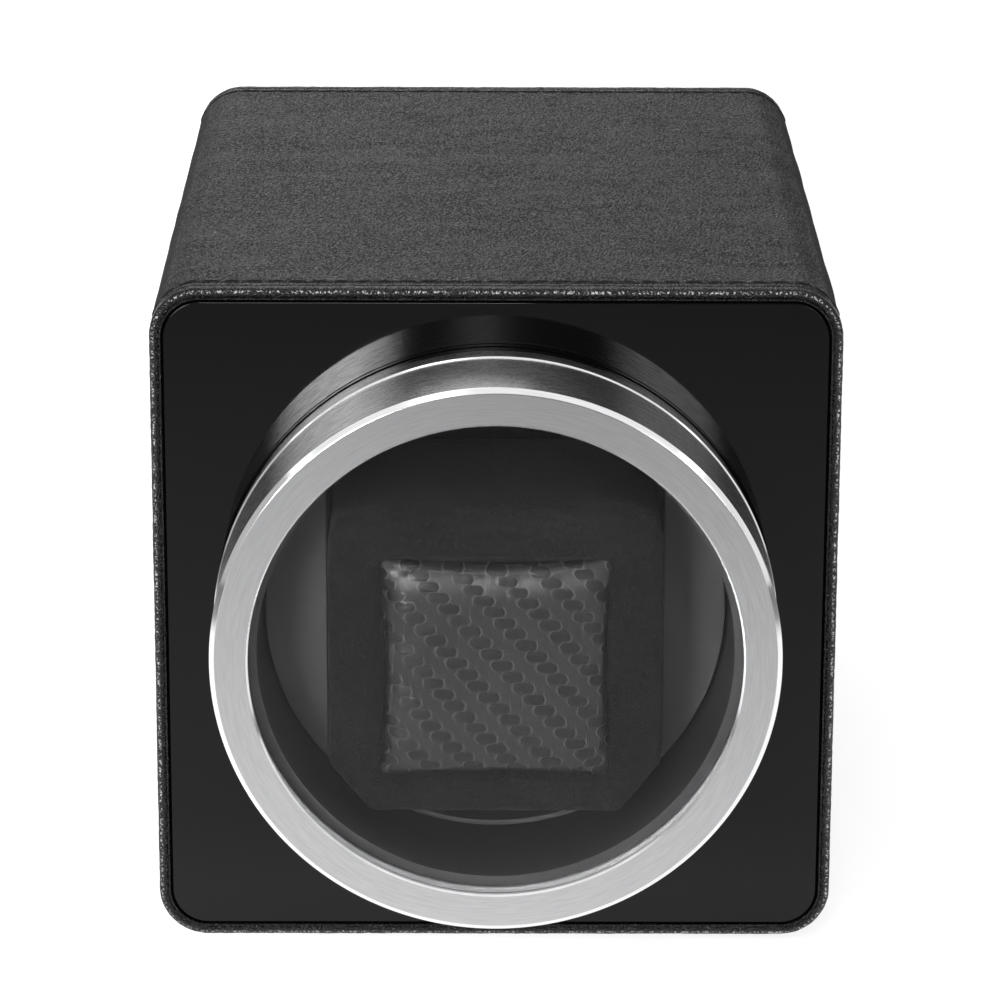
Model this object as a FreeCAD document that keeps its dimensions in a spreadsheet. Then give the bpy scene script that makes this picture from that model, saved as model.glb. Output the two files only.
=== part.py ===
# Watch winder box: a leather-covered case with a round window cover, a turning drum that
# holds a watch pillow, a belt drive and rear controls.
# Frame: +Z up, the window faces -Y, origin at the middle of the underside of the base pad.
import FreeCAD, Part
import Sketcher
import math
import os
import re

Vector = FreeCAD.Vector

# Driving dimensions in millimetres; angles in degrees.
SIZES = {
    # case
    "case_width": 116.0,
    "case_height": 116.0,
    "case_depth": 155.5,
    "corner_radius": 8.5,
    "leather_thickness": 1.2,
    "shell_wall": 4.0,
    "inner_corner_radius": 3.3,
    "shell_fit": 0.1,
    "binding_lip": 2.0,
    "binding_cover": 1.15,
    "binding_round": 1.0,
    "base_pad_thickness": 1.0,
    "base_pad_inset": 9.0,
    "base_pad_corner": 4.0,
    "panel_recess": 0.35,
    "panel_thickness": 3.0,
    "panel_fit": 0.1,
    "panel_edge": 0.4,
    "bulkhead_thickness": 8.0,
    # watch pillow
    "pillow_width": 55.8,
    "pillow_height": 54.0,
    "pillow_depth": 44.5,
    "pillow_drop": 2.0,
    "pillow_reach": 17.0,
    "pillow_bulge": 0.7,
    "pillow_round": 2.5,
    "pillow_shoulder": 4.5,
    "pillow_corner_width": 8.0,
    "pillow_corner_height": 10.0,
    "pad_width": 39.4,
    "pad_height": 39.0,
    "pad_drop": 3.2,
    "pad_sink": 3.0,
    "pad_proud": 0.6,
    "pad_edge_height": 1.0,
    "pad_draw": 0.8,
    "pad_gap": 0.3,
    # drum
    "swing_clearance": 2.34,
    "rotor_setback": 5.0,
    "rotor_clearance": 0.5,
    "channel_depth": 37.0,
    "carrier_back": 4.0,
    "carrier_rim": 1.0,
    "hub_radius": 12.0,
    "hub_length": 4.0,
    "lining_thickness": 0.5,
    "pillow_side_gap": 0.3,
    "sleeve_wall": 1.8,
    "sleeve_gap": 2.0,
    "sleeve_flange_thickness": 2.0,
    # window cover
    "window_gap": 1.4,
    "cover_clearance": 0.35,
    "retainer_wall": 2.6,
    "retainer_length": 6.0,
    "cover_wall": 2.9,
    "lip_overlap": 3.5,
    "lip_thickness": 1.0,
    "lip_chamfer": 0.3,
    "front_chamfer": 0.8,
    "rear_chamfer": 0.4,
    "gasket_thickness": 0.8,
    "gasket_inset": 0.25,
    "glass_thickness": 2.0,
    "strike_thickness": 1.5,
    "ring_fit": 0.05,
    "base_ring_height": 4.75,
    "base_step": 0.2,
    "seat_chamfer": 0.45,
    "parting_gap": 0.2,
    "magnet_radius": 1.6,
    "magnet_depth": 2.5,
    # drive
    "shaft_radius": 3.0,
    "running_fit": 0.03,
    "press_fit": 0.02,
    "shaft_seat": 6.0,
    "pulley_root_radius": 24.0,
    "flange_height": 2.0,
    "flange_thickness": 1.5,
    "groove_width": 3.6,
    "pulley_boss_radius": 5.6,
    "pulley_boss_length": 4.1,
    "thrust_gap": 0.3,
    "plate_thickness": 4.0,
    "plate_clearance": 2.0,
    "post_inset": 7.8,
    "post_across": 7.0,
    "stud_length": 6.0,
    "bush_radius": 5.0,
    "bush_length": 6.0,
    "housing_wall": 3.0,
    "housing_tail": 20.0,
    "housing_flange": 8.0,
    "housing_flange_thickness": 3.0,
    "circlip_thickness": 1.0,
    "circlip_bite": 0.5,
    "circlip_height": 1.8,
    "motor_offset_side": 27.0,
    "motor_offset_down": 27.0,
    "gearbox_radius": 12.5,
    "gearbox_length": 20.0,
    "gearbox_boss_radius": 4.0,
    "gearbox_boss_length": 2.0,
    "motor_radius": 12.0,
    "motor_length": 31.0,
    "motor_tail_radius": 5.0,
    "motor_tail_length": 2.0,
    "motor_shaft_radius": 2.0,
    "motor_shaft_depth": 10.0,
    "drive_root_radius": 6.0,
    "drive_boss_radius": 4.0,
    "drive_boss_length": 3.9,
    "belt_width": 3.0,
    "belt_thickness": 1.5,
    "belt_clearance": 0.15,
    # fasteners
    "screw_radius": 1.25,
    "screw_head_radius": 2.4,
    "screw_head_height": 1.6,
    "screw_grip": 6.0,
    "socket_radius": 1.2,
    "socket_depth": 0.9,
    "post_screw_grip": 6.0,
    "bearing_screw_circle": 12.0,
    "motor_screw_circle": 8.5,
    "pulley_screw_circle": 9.5,
    # rear panel and controls
    "rear_panel_thickness": 3.0,
    "block_size": 12.0,
    "block_length": 14.0,
    "block_offset": 16.0,
    "knob_spacing": 40.0,
    "control_rise": 18.0,
    "board_width": 72.0,
    "board_height": 42.0,
    "board_thickness": 1.6,
    "board_hole_inset": 4.0,
    "standoff_length": 10.0,
    "standoff_radius": 3.0,
    "switch_size": 14.0,
    "bushing_radius": 4.5,
    "bushing_reach": 4.5,
    "spindle_radius": 3.0,
    "spindle_fit": 0.05,
    "nut_radius": 6.2,
    "nut_height": 2.0,
    "knob_radius": 9.0,
    "knob_length": 12.0,
    "knob_gap": 0.5,
    "knob_clearance": 0.6,
    "knob_top_wall": 2.0,
    "flute_radius": 1.0,
    "pointer_width": 1.2,
    "pointer_depth": 0.8,
    "pointer_length": 6.0,
    "jack_drop": 24.0,
    "jack_barrel_radius": 4.0,
    "jack_flange_radius": 5.6,
    "jack_flange_thickness": 1.5,
    "jack_body_length": 12.0,
    "jack_bore_radius": 2.8,
    "jack_bore_depth": 9.5,
    "jack_pin_radius": 1.05,
    "jack_pin_length": 8.5,
    "lead_radius": 0.8,
    "lead_spacing": 4.0,
    "lead_bend": 4.0,
}

MAGNET_COUNT = 8
FLUTE_COUNT = 14
PAD_SECTIONS = (-1.0, -0.6, 0.0, 0.6, 1.0)
PAD_LEAST_CROWN = 0.15
SAME_PLACE = 1e-6

# Places along Y and radii about the drum's axis, worked out from the driving dimensions.
FRONT = "(-case_depth / 2)"
REAR = "(case_depth / 2)"
AXIS_Z = "(base_pad_thickness + case_height / 2)"
BINDING_WIDTH = "(panel_recess + panel_thickness + binding_cover)"
REAR_BINDING_WIDTH = "(panel_recess + rear_panel_thickness + binding_cover)"
PANEL_FRONT = f"({FRONT} + panel_recess)"
PANEL_BACK = f"({PANEL_FRONT} + panel_thickness)"
BULKHEAD_BACK = f"({PANEL_BACK} + bulkhead_thickness)"
REAR_PANEL_BACK = f"({REAR} - panel_recess)"
REAR_PANEL_FRONT = f"({REAR_PANEL_BACK} - rear_panel_thickness)"

SHELL_WIDTH = "(case_width - 2 * leather_thickness)"
SHELL_HEIGHT = "(case_height - 2 * leather_thickness)"
SHELL_RADIUS = "(corner_radius - leather_thickness)"
INNER_WIDTH = f"({SHELL_WIDTH} - 2 * shell_wall)"
INNER_HEIGHT = f"({SHELL_HEIGHT} - 2 * shell_wall)"
PANEL_WIDTH = "(case_width - 2 * binding_lip - 2 * panel_fit)"
PANEL_HEIGHT = "(case_height - 2 * binding_lip - 2 * panel_fit)"
PANEL_RADIUS = "(corner_radius - binding_lip - panel_fit)"

PILLOW_TOP = "(pillow_height / 2 - pillow_drop)"
PILLOW_SWING = f"sqrt((pillow_width / 2)^2 + {PILLOW_TOP}^2)"
SLEEVE_BORE = f"({PILLOW_SWING} + swing_clearance)"
SLEEVE_OUTER = f"({SLEEVE_BORE} + sleeve_wall)"
ROTOR_RADIUS = f"({SLEEVE_BORE} - rotor_clearance)"
RETAINER_BORE = f"({SLEEVE_OUTER} + cover_clearance)"
COVER_BORE = f"({RETAINER_BORE} + retainer_wall)"
COVER_RADIUS = f"({COVER_BORE} + cover_wall)"
WINDOW_RADIUS = f"({COVER_BORE} - lip_overlap)"
BASE_BORE = f"({SLEEVE_OUTER} + ring_fit)"
BASE_RADIUS = f"({COVER_RADIUS} + base_step)"
MAGNET_CIRCLE = f"(({BASE_BORE} + {BASE_RADIUS}) / 2)"

PILLOW_FRONT = f"({FRONT} - pillow_reach)"
GLASS_BACK = f"({PILLOW_FRONT} - pad_proud - window_gap)"
GLASS_FRONT = f"({GLASS_BACK} - glass_thickness)"
GASKET_FRONT = f"({GLASS_FRONT} - gasket_thickness)"
COVER_FRONT = f"({GASKET_FRONT} - lip_thickness)"
BASE_FRONT = f"({PANEL_FRONT} - base_ring_height)"
COVER_BACK = f"({BASE_FRONT} - parting_gap)"
SLEEVE_FRONT = f"({GLASS_BACK} + sleeve_gap)"
CARRIER_FRONT = f"({FRONT} + rotor_setback)"
CHANNEL_BACK = f"({CARRIER_FRONT} + channel_depth)"
CARRIER_BACK = f"({CHANNEL_BACK} + carrier_back)"
CHANNEL_WIDTH = "(pillow_width + 2 * pillow_side_gap + 2 * lining_thickness)"

PULLEY_FRONT = f"({CARRIER_BACK} + hub_length)"
PULLEY_WIDTH = "(2 * flange_thickness + groove_width)"
PULLEY_BACK = f"({PULLEY_FRONT} + {PULLEY_WIDTH} + pulley_boss_length)"
BELT_FRONT = f"({PULLEY_FRONT} + flange_thickness + (groove_width - belt_width) / 2)"
PLATE_FRONT = f"({PULLEY_BACK} + thrust_gap)"
PLATE_BACK = f"({PLATE_FRONT} + plate_thickness)"
HOUSING_RADIUS = "(bush_radius + housing_wall)"
HOUSING_BACK = f"({PLATE_BACK} + housing_tail)"
MOTOR_X = "motor_offset_side"
MOTOR_Z = f"({AXIS_Z} - motor_offset_down)"
GEARBOX_BACK = f"({PLATE_BACK} + gearbox_length)"
MOTOR_BACK = f"({GEARBOX_BACK} + motor_length)"
DRIVE_PULLEY_BACK = f"({PULLEY_FRONT} + {PULLEY_WIDTH} + drive_boss_length)"

POST_X = f"({INNER_WIDTH} / 2 - post_inset)"
POST_Z = f"({INNER_HEIGHT} / 2 - post_inset)"
BLOCK_X = f"({INNER_WIDTH} / 2 - block_size / 2)"
BLOCK_Z = f"({INNER_HEIGHT} / 2 - block_offset)"
CONTROL_Z = f"({AXIS_Z} + control_rise)"
KNOB_X = "(knob_spacing / 2)"
BOARD_BACK = f"({REAR_PANEL_FRONT} - standoff_length)"
BOARD_FRONT = f"({BOARD_BACK} - board_thickness)"
BOARD_HOLE_X = "(board_width / 2 - board_hole_inset)"
BOARD_HOLE_Z = "(board_height / 2 - board_hole_inset)"
KNOB_FRONT = f"({REAR_PANEL_BACK} + knob_gap)"
KNOB_BACK = f"({KNOB_FRONT} + knob_length)"
JACK_Z = f"({AXIS_Z} - jack_drop)"
JACK_FRONT = f"({REAR_PANEL_BACK} - jack_body_length)"

TOWARD_REAR = FreeCAD.Rotation(Vector(1, 0, 0), -90)
TOWARD_FRONT = FreeCAD.Rotation(Vector(1, 0, 0), 90)

document = FreeCAD.newDocument("watch_winder_box")
sheet = document.addObject("Spreadsheet::Sheet", "sizes")
for row, (alias, size) in enumerate(SIZES.items(), start=1):
    sheet.set(f"A{row}", alias)
    sheet.set(f"B{row}", str(size))
    sheet.setAlias(f"B{row}", alias)
document.recompute()

nodes = []


def bound(text):
    """The expression with each size name pointed at its cell in the sheet."""
    def cell(found):
        word = found[0]
        return f"sizes.{word}" if word in SIZES else word

    return re.sub(r"[a-z][a-z_]*", cell, text)


def value(text):
    """The present value of an expression."""
    return float(sheet.evalExpression(bound(text)))


def keep(piece, label):
    """Name a finished sub-part and list it for writing."""
    piece.Label = label
    nodes.append(piece)
    return piece


def move(piece, x, y, z, rotation=TOWARD_REAR):
    """Place a primitive, its place bound to the sheet."""
    piece.Placement = FreeCAD.Placement(Vector(value(x), value(y), value(z)), rotation)
    for axis, text in zip("xyz", (x, y, z)):
        piece.setExpression(f"Placement.Base.{axis}", bound(text))
    return piece


# Sketches and features


def new_sketch(body, role, x="0", y="0", z="0"):
    """A sketch on the body's own XZ or XY plane, moved so that its origin is at x, y, z."""
    sketch = body.newObject("Sketcher::SketchObject", f"{body.Name}_sketch")
    plane = next(item for item in body.Origin.OriginFeatures if item.Role == role)
    sketch.AttachmentSupport = [(plane, "")]
    sketch.MapMode = "FlatFace"
    offsets = (x, z, f"-({y})") if role == "XZ_Plane" else (x, y, z)
    for axis, text in zip("xyz", offsets):
        sketch.setExpression(f"AttachmentOffset.Base.{axis}", bound(text))
    document.recompute()
    return sketch


def bind_last(sketch, text):
    """Bind the constraint added last to an expression."""
    sketch.setExpression(f"Constraints[{sketch.ConstraintCount - 1}]", bound(text))


def fix_point(sketch, geometry, point, x, y):
    """Hold a sketch point at x, y from the sketch's origin."""
    for kind, text, axis in (("DistanceX", x, -2), ("DistanceY", y, -1)):
        if text == "0":
            sketch.addConstraint(Sketcher.Constraint("PointOnObject", geometry, point, axis))
        else:
            sketch.addConstraint(Sketcher.Constraint(kind, -1, 1, geometry, point, value(text)))
            bind_last(sketch, text)


def draw_polygon(sketch, points):
    """A closed outline through points given as pairs of expressions."""
    corners = [Vector(value(x), value(y), 0) for x, y in points]
    count = len(corners)
    first = sketch.GeometryCount
    for index in range(count):
        sketch.addGeometry(Part.LineSegment(corners[index], corners[(index + 1) % count]))
    for index in range(count):
        following = first + (index + 1) % count
        sketch.addConstraint(Sketcher.Constraint("Coincident", first + index, 2, following, 1))
    for index, (x, y) in enumerate(points):
        fix_point(sketch, first + index, 1, x, y)


def draw_circle(sketch, radius, x="0", y="0"):
    """A circle about x, y."""
    circle = Part.Circle(Vector(value(x), value(y), 0), Vector(0, 0, 1), value(radius))
    index = sketch.addGeometry(circle)
    fix_point(sketch, index, 3, x, y)
    sketch.addConstraint(Sketcher.Constraint("Radius", index, value(radius)))
    bind_last(sketch, radius)


def draw_rounded(sketch, width, height, radius):
    """A rectangle with round corners, centred on the sketch's origin."""
    half_width, half_height, round_size = value(width) / 2, value(height) / 2, value(radius)
    across, up = half_width - round_size, half_height - round_size
    first = sketch.GeometryCount
    sides = (
        (Vector(-across, half_height), Vector(across, half_height)),
        (Vector(half_width, up), Vector(half_width, -up)),
        (Vector(across, -half_height), Vector(-across, -half_height)),
        (Vector(-half_width, -up), Vector(-half_width, up)),
    )
    centres = (Vector(across, up), Vector(across, -up), Vector(-across, -up), Vector(-across, up))
    for turn, (side, centre) in enumerate(zip(sides, centres)):
        start = -turn * math.pi / 2
        sketch.addGeometry(Part.LineSegment(*side))
        circle = Part.Circle(centre, Vector(0, 0, 1), round_size)
        sketch.addGeometry(Part.ArcOfCircle(circle, start, start + math.pi / 2))
    for turn in range(4):
        side, arc, following = first + 2 * turn, first + 2 * turn + 1, first + (2 * turn + 2) % 8
        sketch.addConstraint(Sketcher.Constraint("Tangent", side, 2, arc, 2))
        sketch.addConstraint(Sketcher.Constraint("Tangent", arc, 1, following, 1))
        sketch.addConstraint(Sketcher.Constraint("Vertical" if turn % 2 else "Horizontal", side))
    for arc in (first + 3, first + 5, first + 7):
        sketch.addConstraint(Sketcher.Constraint("Equal", first + 1, arc))
    sketch.addConstraint(Sketcher.Constraint("Symmetric", first + 1, 3, first + 5, 3, -1, 1))
    sketch.addConstraint(Sketcher.Constraint("DistanceX", first + 6, 1, first + 2, 1, 2 * half_width))
    bind_last(sketch, width)
    sketch.addConstraint(Sketcher.Constraint("DistanceY", first + 4, 1, first, 1, 2 * half_height))
    bind_last(sketch, height)
    sketch.addConstraint(Sketcher.Constraint("Radius", first + 1, round_size))
    bind_last(sketch, radius)


def new_body(label):
    return keep(document.addObject("PartDesign::Body", label), label)


def add_pad(body, sketch, length, toward_normal=False):
    """Raise a sketch; on the XZ plane the default is towards +Y."""
    pad = body.newObject("PartDesign::Pad", f"{body.Name}_pad")
    pad.Profile = sketch
    pad.setExpression("Length", bound(length))
    pad.Reversed = not toward_normal
    document.recompute()
    return pad


def add_pocket(body, sketch, length, toward_normal=False):
    """Cut a sketch into the body; on the XZ plane the default is towards +Y."""
    before = body.Shape.Volume
    pocket = body.newObject("PartDesign::Pocket", f"{body.Name}_pocket")
    pocket.Profile = sketch
    pocket.setExpression("Length", bound(length))
    pocket.Reversed = toward_normal
    document.recompute()
    if body.Shape.Volume >= before:
        raise RuntimeError(f"a pocket of {body.Label} cuts nothing")
    return pocket


def add_polar(body, feature, sketch, count):
    """Repeat a feature about the normal through its sketch's origin."""
    pattern = body.newObject("PartDesign::PolarPattern", f"{body.Name}_pattern")
    pattern.Originals = [feature]
    pattern.Axis = (sketch, ["N_Axis"])
    pattern.Angle = 360
    pattern.Occurrences = count
    body.Tip = pattern
    document.recompute()


def add_edge_feature(body, kind, size, chosen):
    """Round or bevel the body's edges that a test picks."""
    base = body.Tip
    names = [f"Edge{index}" for index, edge in enumerate(base.Shape.Edges, start=1) if chosen(edge)]
    feature = body.newObject(kind, f"{body.Name}_edge")
    feature.Base = (base, names)
    property_name = "Radius" if kind == "PartDesign::Fillet" else "Size"
    feature.setExpression(property_name, bound(size))
    document.recompute()


def on_outer_rim(body, y):
    """A test for the edges of the outer loop of the body's flat face at y."""
    face = next(face for face in body.Tip.Shape.Faces
                if abs(face.BoundBox.YMin - y) < SAME_PLACE and abs(face.BoundBox.YMax - y) < SAME_PLACE)
    rim = face.OuterWire.Edges
    return lambda edge: any(edge.isSame(other) for other in rim)


# Kinds of piece


def turned(label, profile, start, x="0", z=AXIS_Z):
    """A piece turned about a line along Y: pairs of radius and distance behind its start."""
    body = new_body(label)
    sketch = new_sketch(body, "XY_Plane", x, start, z)
    draw_polygon(sketch, profile)
    turn = body.newObject("PartDesign::Revolution", f"{label}_turn")
    turn.Profile = sketch
    turn.ReferenceAxis = (sketch, ["V_Axis"])
    turn.Angle = 360
    document.recompute()
    return body


def tube_profile(inner, outer, length):
    return [(inner, "0"), (outer, "0"), (outer, length), (inner, length)]


def rounded_plate(label, width, height, radius, start, thickness):
    """A plate across the case, from its start towards the rear."""
    body = new_body(label)
    sketch = new_sketch(body, "XZ_Plane", "0", start, AXIS_Z)
    draw_rounded(sketch, width, height, radius)
    add_pad(body, sketch, thickness)
    return body


def drill(body, start, depth, holes, z=AXIS_Z):
    """Cut round holes, each a radius and a place about the axis, from start towards the rear."""
    sketch = new_sketch(body, "XZ_Plane", "0", start, z)
    for radius, across, up in holes:
        draw_circle(sketch, radius, across, up)
    return add_pocket(body, sketch, depth)


def cylinder(name, radius, length, x, y, z, rotation=TOWARD_REAR):
    """A round bar along Y from its place, towards the rear unless turned."""
    bar = document.addObject("Part::Cylinder", name)
    bar.setExpression("Radius", bound(radius))
    bar.setExpression("Height", bound(length))
    return move(bar, x, y, z, rotation)


def prism(name, radius, length, x, y, z, rotation=TOWARD_REAR):
    """A hexagonal bar along Y, its radius across the corners."""
    bar = document.addObject("Part::Prism", name)
    bar.Polygon = 6
    bar.setExpression("Circumradius", bound(radius))
    bar.setExpression("Height", bound(length))
    return move(bar, x, y, z, rotation)


def block(name, width, depth, height, x, y, z):
    """A box centred across X and Z on its place, from y towards the rear."""
    box = document.addObject("Part::Box", name)
    box.setExpression("Length", bound(width))
    box.setExpression("Width", bound(depth))
    box.setExpression("Height", bound(height))
    corner = (f"{x} - ({width}) / 2", y, f"{z} - ({height}) / 2")
    return move(box, *corner, FreeCAD.Rotation())


def fuse(name, *pieces):
    joined = document.addObject("Part::MultiFuse", name)
    joined.Shapes = list(pieces)
    return joined


def cut(name, piece, tool):
    result = document.addObject("Part::Cut", name)
    result.Base = piece
    result.Tool = tool
    return result


def group(label, pieces):
    """Identical pieces that share one node."""
    compound = document.addObject("Part::Compound", label)
    compound.Links = pieces
    return keep(compound, label)


def screw(name, x, y, z, grip, rotation=TOWARD_REAR):
    """A cap screw whose head stands on the face at y; its shank runs along the rotation."""
    back = FreeCAD.Rotation(rotation).multiply(FreeCAD.Rotation(Vector(1, 0, 0), 180))
    away = "-" if rotation is TOWARD_REAR else "+"
    shank = cylinder(f"{name}_shank", "screw_radius", grip, x, y, z, rotation)
    head = cylinder(f"{name}_head", "screw_head_radius", "screw_head_height", x, y, z, back)
    crown = f"{y} {away} screw_head_height"
    socket = prism(f"{name}_socket", "socket_radius", "socket_depth", x, crown, z, rotation)
    return cut(name, fuse(f"{name}_solid", shank, head), socket)


def screws(label, places, y, grip, rotation=TOWARD_REAR):
    return group(label, [screw(f"{label}_{index}", x, y, z, grip, rotation)
                         for index, (x, z) in enumerate(places, start=1)])


def around(circle, count, start=0.0):
    """Places evenly round a circle, as pairs of expressions."""
    angles = [start + 360.0 * index / count for index in range(count)]
    return [(f"{circle} * cos({angle})", f"{circle} * sin({angle})") for angle in angles]


def from_axis(places, x="0", z=AXIS_Z):
    return [(f"{x} + {across}", f"{z} + {up}") for across, up in places]


def four_corners(across, up):
    return [(f"{side}{across}", f"{rise}{up}") for side in ("", "-") for rise in ("", "-")]


# Case


def make_case_shell():
    body = new_body("case_shell")
    sketch = new_sketch(body, "XZ_Plane", "0", PANEL_BACK, AXIS_Z)
    draw_rounded(sketch, SHELL_WIDTH, SHELL_HEIGHT, SHELL_RADIUS)
    draw_rounded(sketch, INNER_WIDTH, INNER_HEIGHT, "inner_corner_radius")
    add_pad(body, sketch, f"{REAR_PANEL_FRONT} - {PANEL_BACK}")


def make_leather():
    wrap = new_body("leather_wrap")
    sketch = new_sketch(wrap, "XZ_Plane", "0", f"{FRONT} + {BINDING_WIDTH}", AXIS_Z)
    draw_rounded(sketch, "case_width", "case_height", "corner_radius")
    draw_rounded(sketch, SHELL_WIDTH, SHELL_HEIGHT, SHELL_RADIUS)
    add_pad(wrap, sketch, f"case_depth - {BINDING_WIDTH} - {REAR_BINDING_WIDTH}")
    front_depth = "panel_recess + panel_thickness"
    rear_depth = "panel_recess + rear_panel_thickness"
    make_binding("front_binding", FRONT, BINDING_WIDTH, FRONT, front_depth, PANEL_BACK, FRONT)
    start = f"{REAR} - {REAR_BINDING_WIDTH}"
    make_binding("rear_binding", start, REAR_BINDING_WIDTH, REAR_PANEL_FRONT, rear_depth, start, REAR)


def make_binding(label, start, width, lip_start, lip_depth, shell_start, rim):
    """An edge strip: a lip beside the panel and a thinner band over the shell's end."""
    body = rounded_plate(label, "case_width", "case_height", "corner_radius", start, width)
    lip = new_sketch(body, "XZ_Plane", "0", lip_start, AXIS_Z)
    draw_rounded(lip, "case_width - 2 * binding_lip", "case_height - 2 * binding_lip",
                 "corner_radius - binding_lip")
    add_pocket(body, lip, lip_depth)
    band = new_sketch(body, "XZ_Plane", "0", shell_start, AXIS_Z)
    draw_rounded(band, SHELL_WIDTH, SHELL_HEIGHT, SHELL_RADIUS)
    add_pocket(body, band, "binding_cover")
    add_edge_feature(body, "PartDesign::Fillet", "binding_round", on_outer_rim(body, value(rim)))


def make_base_pad():
    body = new_body("base_pad")
    sketch = new_sketch(body, "XY_Plane")
    draw_rounded(sketch, "case_width - 2 * base_pad_inset", "case_depth - 2 * base_pad_inset",
                 "base_pad_corner")
    add_pad(body, sketch, "base_pad_thickness", toward_normal=True)


def make_front_panel():
    body = rounded_plate("front_panel", PANEL_WIDTH, PANEL_HEIGHT, PANEL_RADIUS, PANEL_FRONT,
                         "panel_thickness")
    add_edge_feature(body, "PartDesign::Chamfer", "panel_edge", on_outer_rim(body, value(PANEL_FRONT)))
    holes = [(f"{SLEEVE_OUTER} + ring_fit", "0", "0")]
    holes += [("screw_radius + press_fit", across, up) for across, up in around(MAGNET_CIRCLE, 4)]
    drill(body, PANEL_FRONT, "panel_thickness", holes)


def make_bulkhead():
    body = rounded_plate("front_bulkhead", f"{INNER_WIDTH} - 2 * shell_fit",
                         f"{INNER_HEIGHT} - 2 * shell_fit", "inner_corner_radius", PANEL_BACK,
                         "bulkhead_thickness")
    holes = [(f"{SLEEVE_OUTER} + ring_fit", "0", "0")]
    holes += [("screw_radius + press_fit", across, up) for across, up in around(MAGNET_CIRCLE, 4)]
    holes += [("screw_radius + press_fit", across, up) for across, up in four_corners(POST_X, POST_Z)]
    drill(body, PANEL_BACK, "bulkhead_thickness", holes)


def make_base_ring():
    ring = turned("base_ring", [
        (BASE_BORE, "0"),
        (f"{BASE_RADIUS} - seat_chamfer", "0"),
        (BASE_RADIUS, "seat_chamfer"),
        (BASE_RADIUS, "base_ring_height"),
        (BASE_BORE, "base_ring_height"),
    ], BASE_FRONT)
    sketch = new_sketch(ring, "XZ_Plane", "0", BASE_FRONT, AXIS_Z)
    across, up = around(MAGNET_CIRCLE, MAGNET_COUNT, 180.0 / MAGNET_COUNT)[0]
    draw_circle(sketch, "magnet_radius", across, up)
    pocket = add_pocket(ring, sketch, "magnet_depth")
    add_polar(ring, pocket, sketch, MAGNET_COUNT)
    holes = [("screw_radius + press_fit", across, up) for across, up in around(MAGNET_CIRCLE, 4)]
    drill(ring, f"{PANEL_FRONT} - base_ring_height / 2", "base_ring_height / 2", holes)
    places = from_axis(around(MAGNET_CIRCLE, MAGNET_COUNT, 180.0 / MAGNET_COUNT))
    magnets = []
    for index, (x, z) in enumerate(places, start=1):
        name = f"seat_magnet_{index}"
        magnets.append(cylinder(name, "magnet_radius", "magnet_depth", x, BASE_FRONT, z))
    group("seat_magnets", magnets)


def make_drum_sleeve():
    """The tube the drum turns in; the base ring's screws clamp its flange to the bulkhead."""
    flange_front = f"({BULKHEAD_BACK} - {SLEEVE_FRONT})"
    flange_back = f"({flange_front} + sleeve_flange_thickness)"
    length = f"({CARRIER_BACK} - {SLEEVE_FRONT})"
    sleeve = turned("drum_sleeve", [
        (SLEEVE_BORE, "0"),
        (SLEEVE_OUTER, "0"),
        (SLEEVE_OUTER, flange_front),
        (BASE_RADIUS, flange_front),
        (BASE_RADIUS, flange_back),
        (SLEEVE_OUTER, flange_back),
        (SLEEVE_OUTER, length),
        (SLEEVE_BORE, length),
    ], SLEEVE_FRONT)
    holes = [("screw_radius + press_fit", across, up) for across, up in around(MAGNET_CIRCLE, 4)]
    drill(sleeve, BULKHEAD_BACK, "sleeve_flange_thickness", holes)
    grip = "sleeve_flange_thickness + bulkhead_thickness + panel_thickness + base_ring_height / 2"
    screws("base_ring_screws", from_axis(around(MAGNET_CIRCLE, 4)),
           f"{BULKHEAD_BACK} + sleeve_flange_thickness", grip, TOWARD_FRONT)


# Window cover


def make_cover():
    length = f"({COVER_BACK} - {COVER_FRONT})"
    turned("cover_ring", [
        (f"{WINDOW_RADIUS} + lip_chamfer", "0"),
        (f"{COVER_RADIUS} - front_chamfer", "0"),
        (COVER_RADIUS, "front_chamfer"),
        (COVER_RADIUS, f"{length} - rear_chamfer"),
        (f"{COVER_RADIUS} - rear_chamfer", length),
        (COVER_BORE, length),
        (COVER_BORE, "lip_thickness"),
        (WINDOW_RADIUS, "lip_thickness"),
        (WINDOW_RADIUS, "lip_chamfer"),
    ], COVER_FRONT)
    seat = f"{COVER_BORE} - ring_fit"
    turned("window_gasket", tube_profile(f"{WINDOW_RADIUS} + gasket_inset", seat, "gasket_thickness"),
           GASKET_FRONT)
    glass = cylinder("window_glass", seat, "glass_thickness", "0", GLASS_FRONT, AXIS_Z)
    keep(glass, "window_glass")
    turned("glass_retainer", tube_profile(RETAINER_BORE, seat, "retainer_length"), GLASS_BACK)
    turned("strike_ring", tube_profile(RETAINER_BORE, seat, "strike_thickness"),
           f"{COVER_BACK} - strike_thickness")


# Drum and pillow


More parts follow.
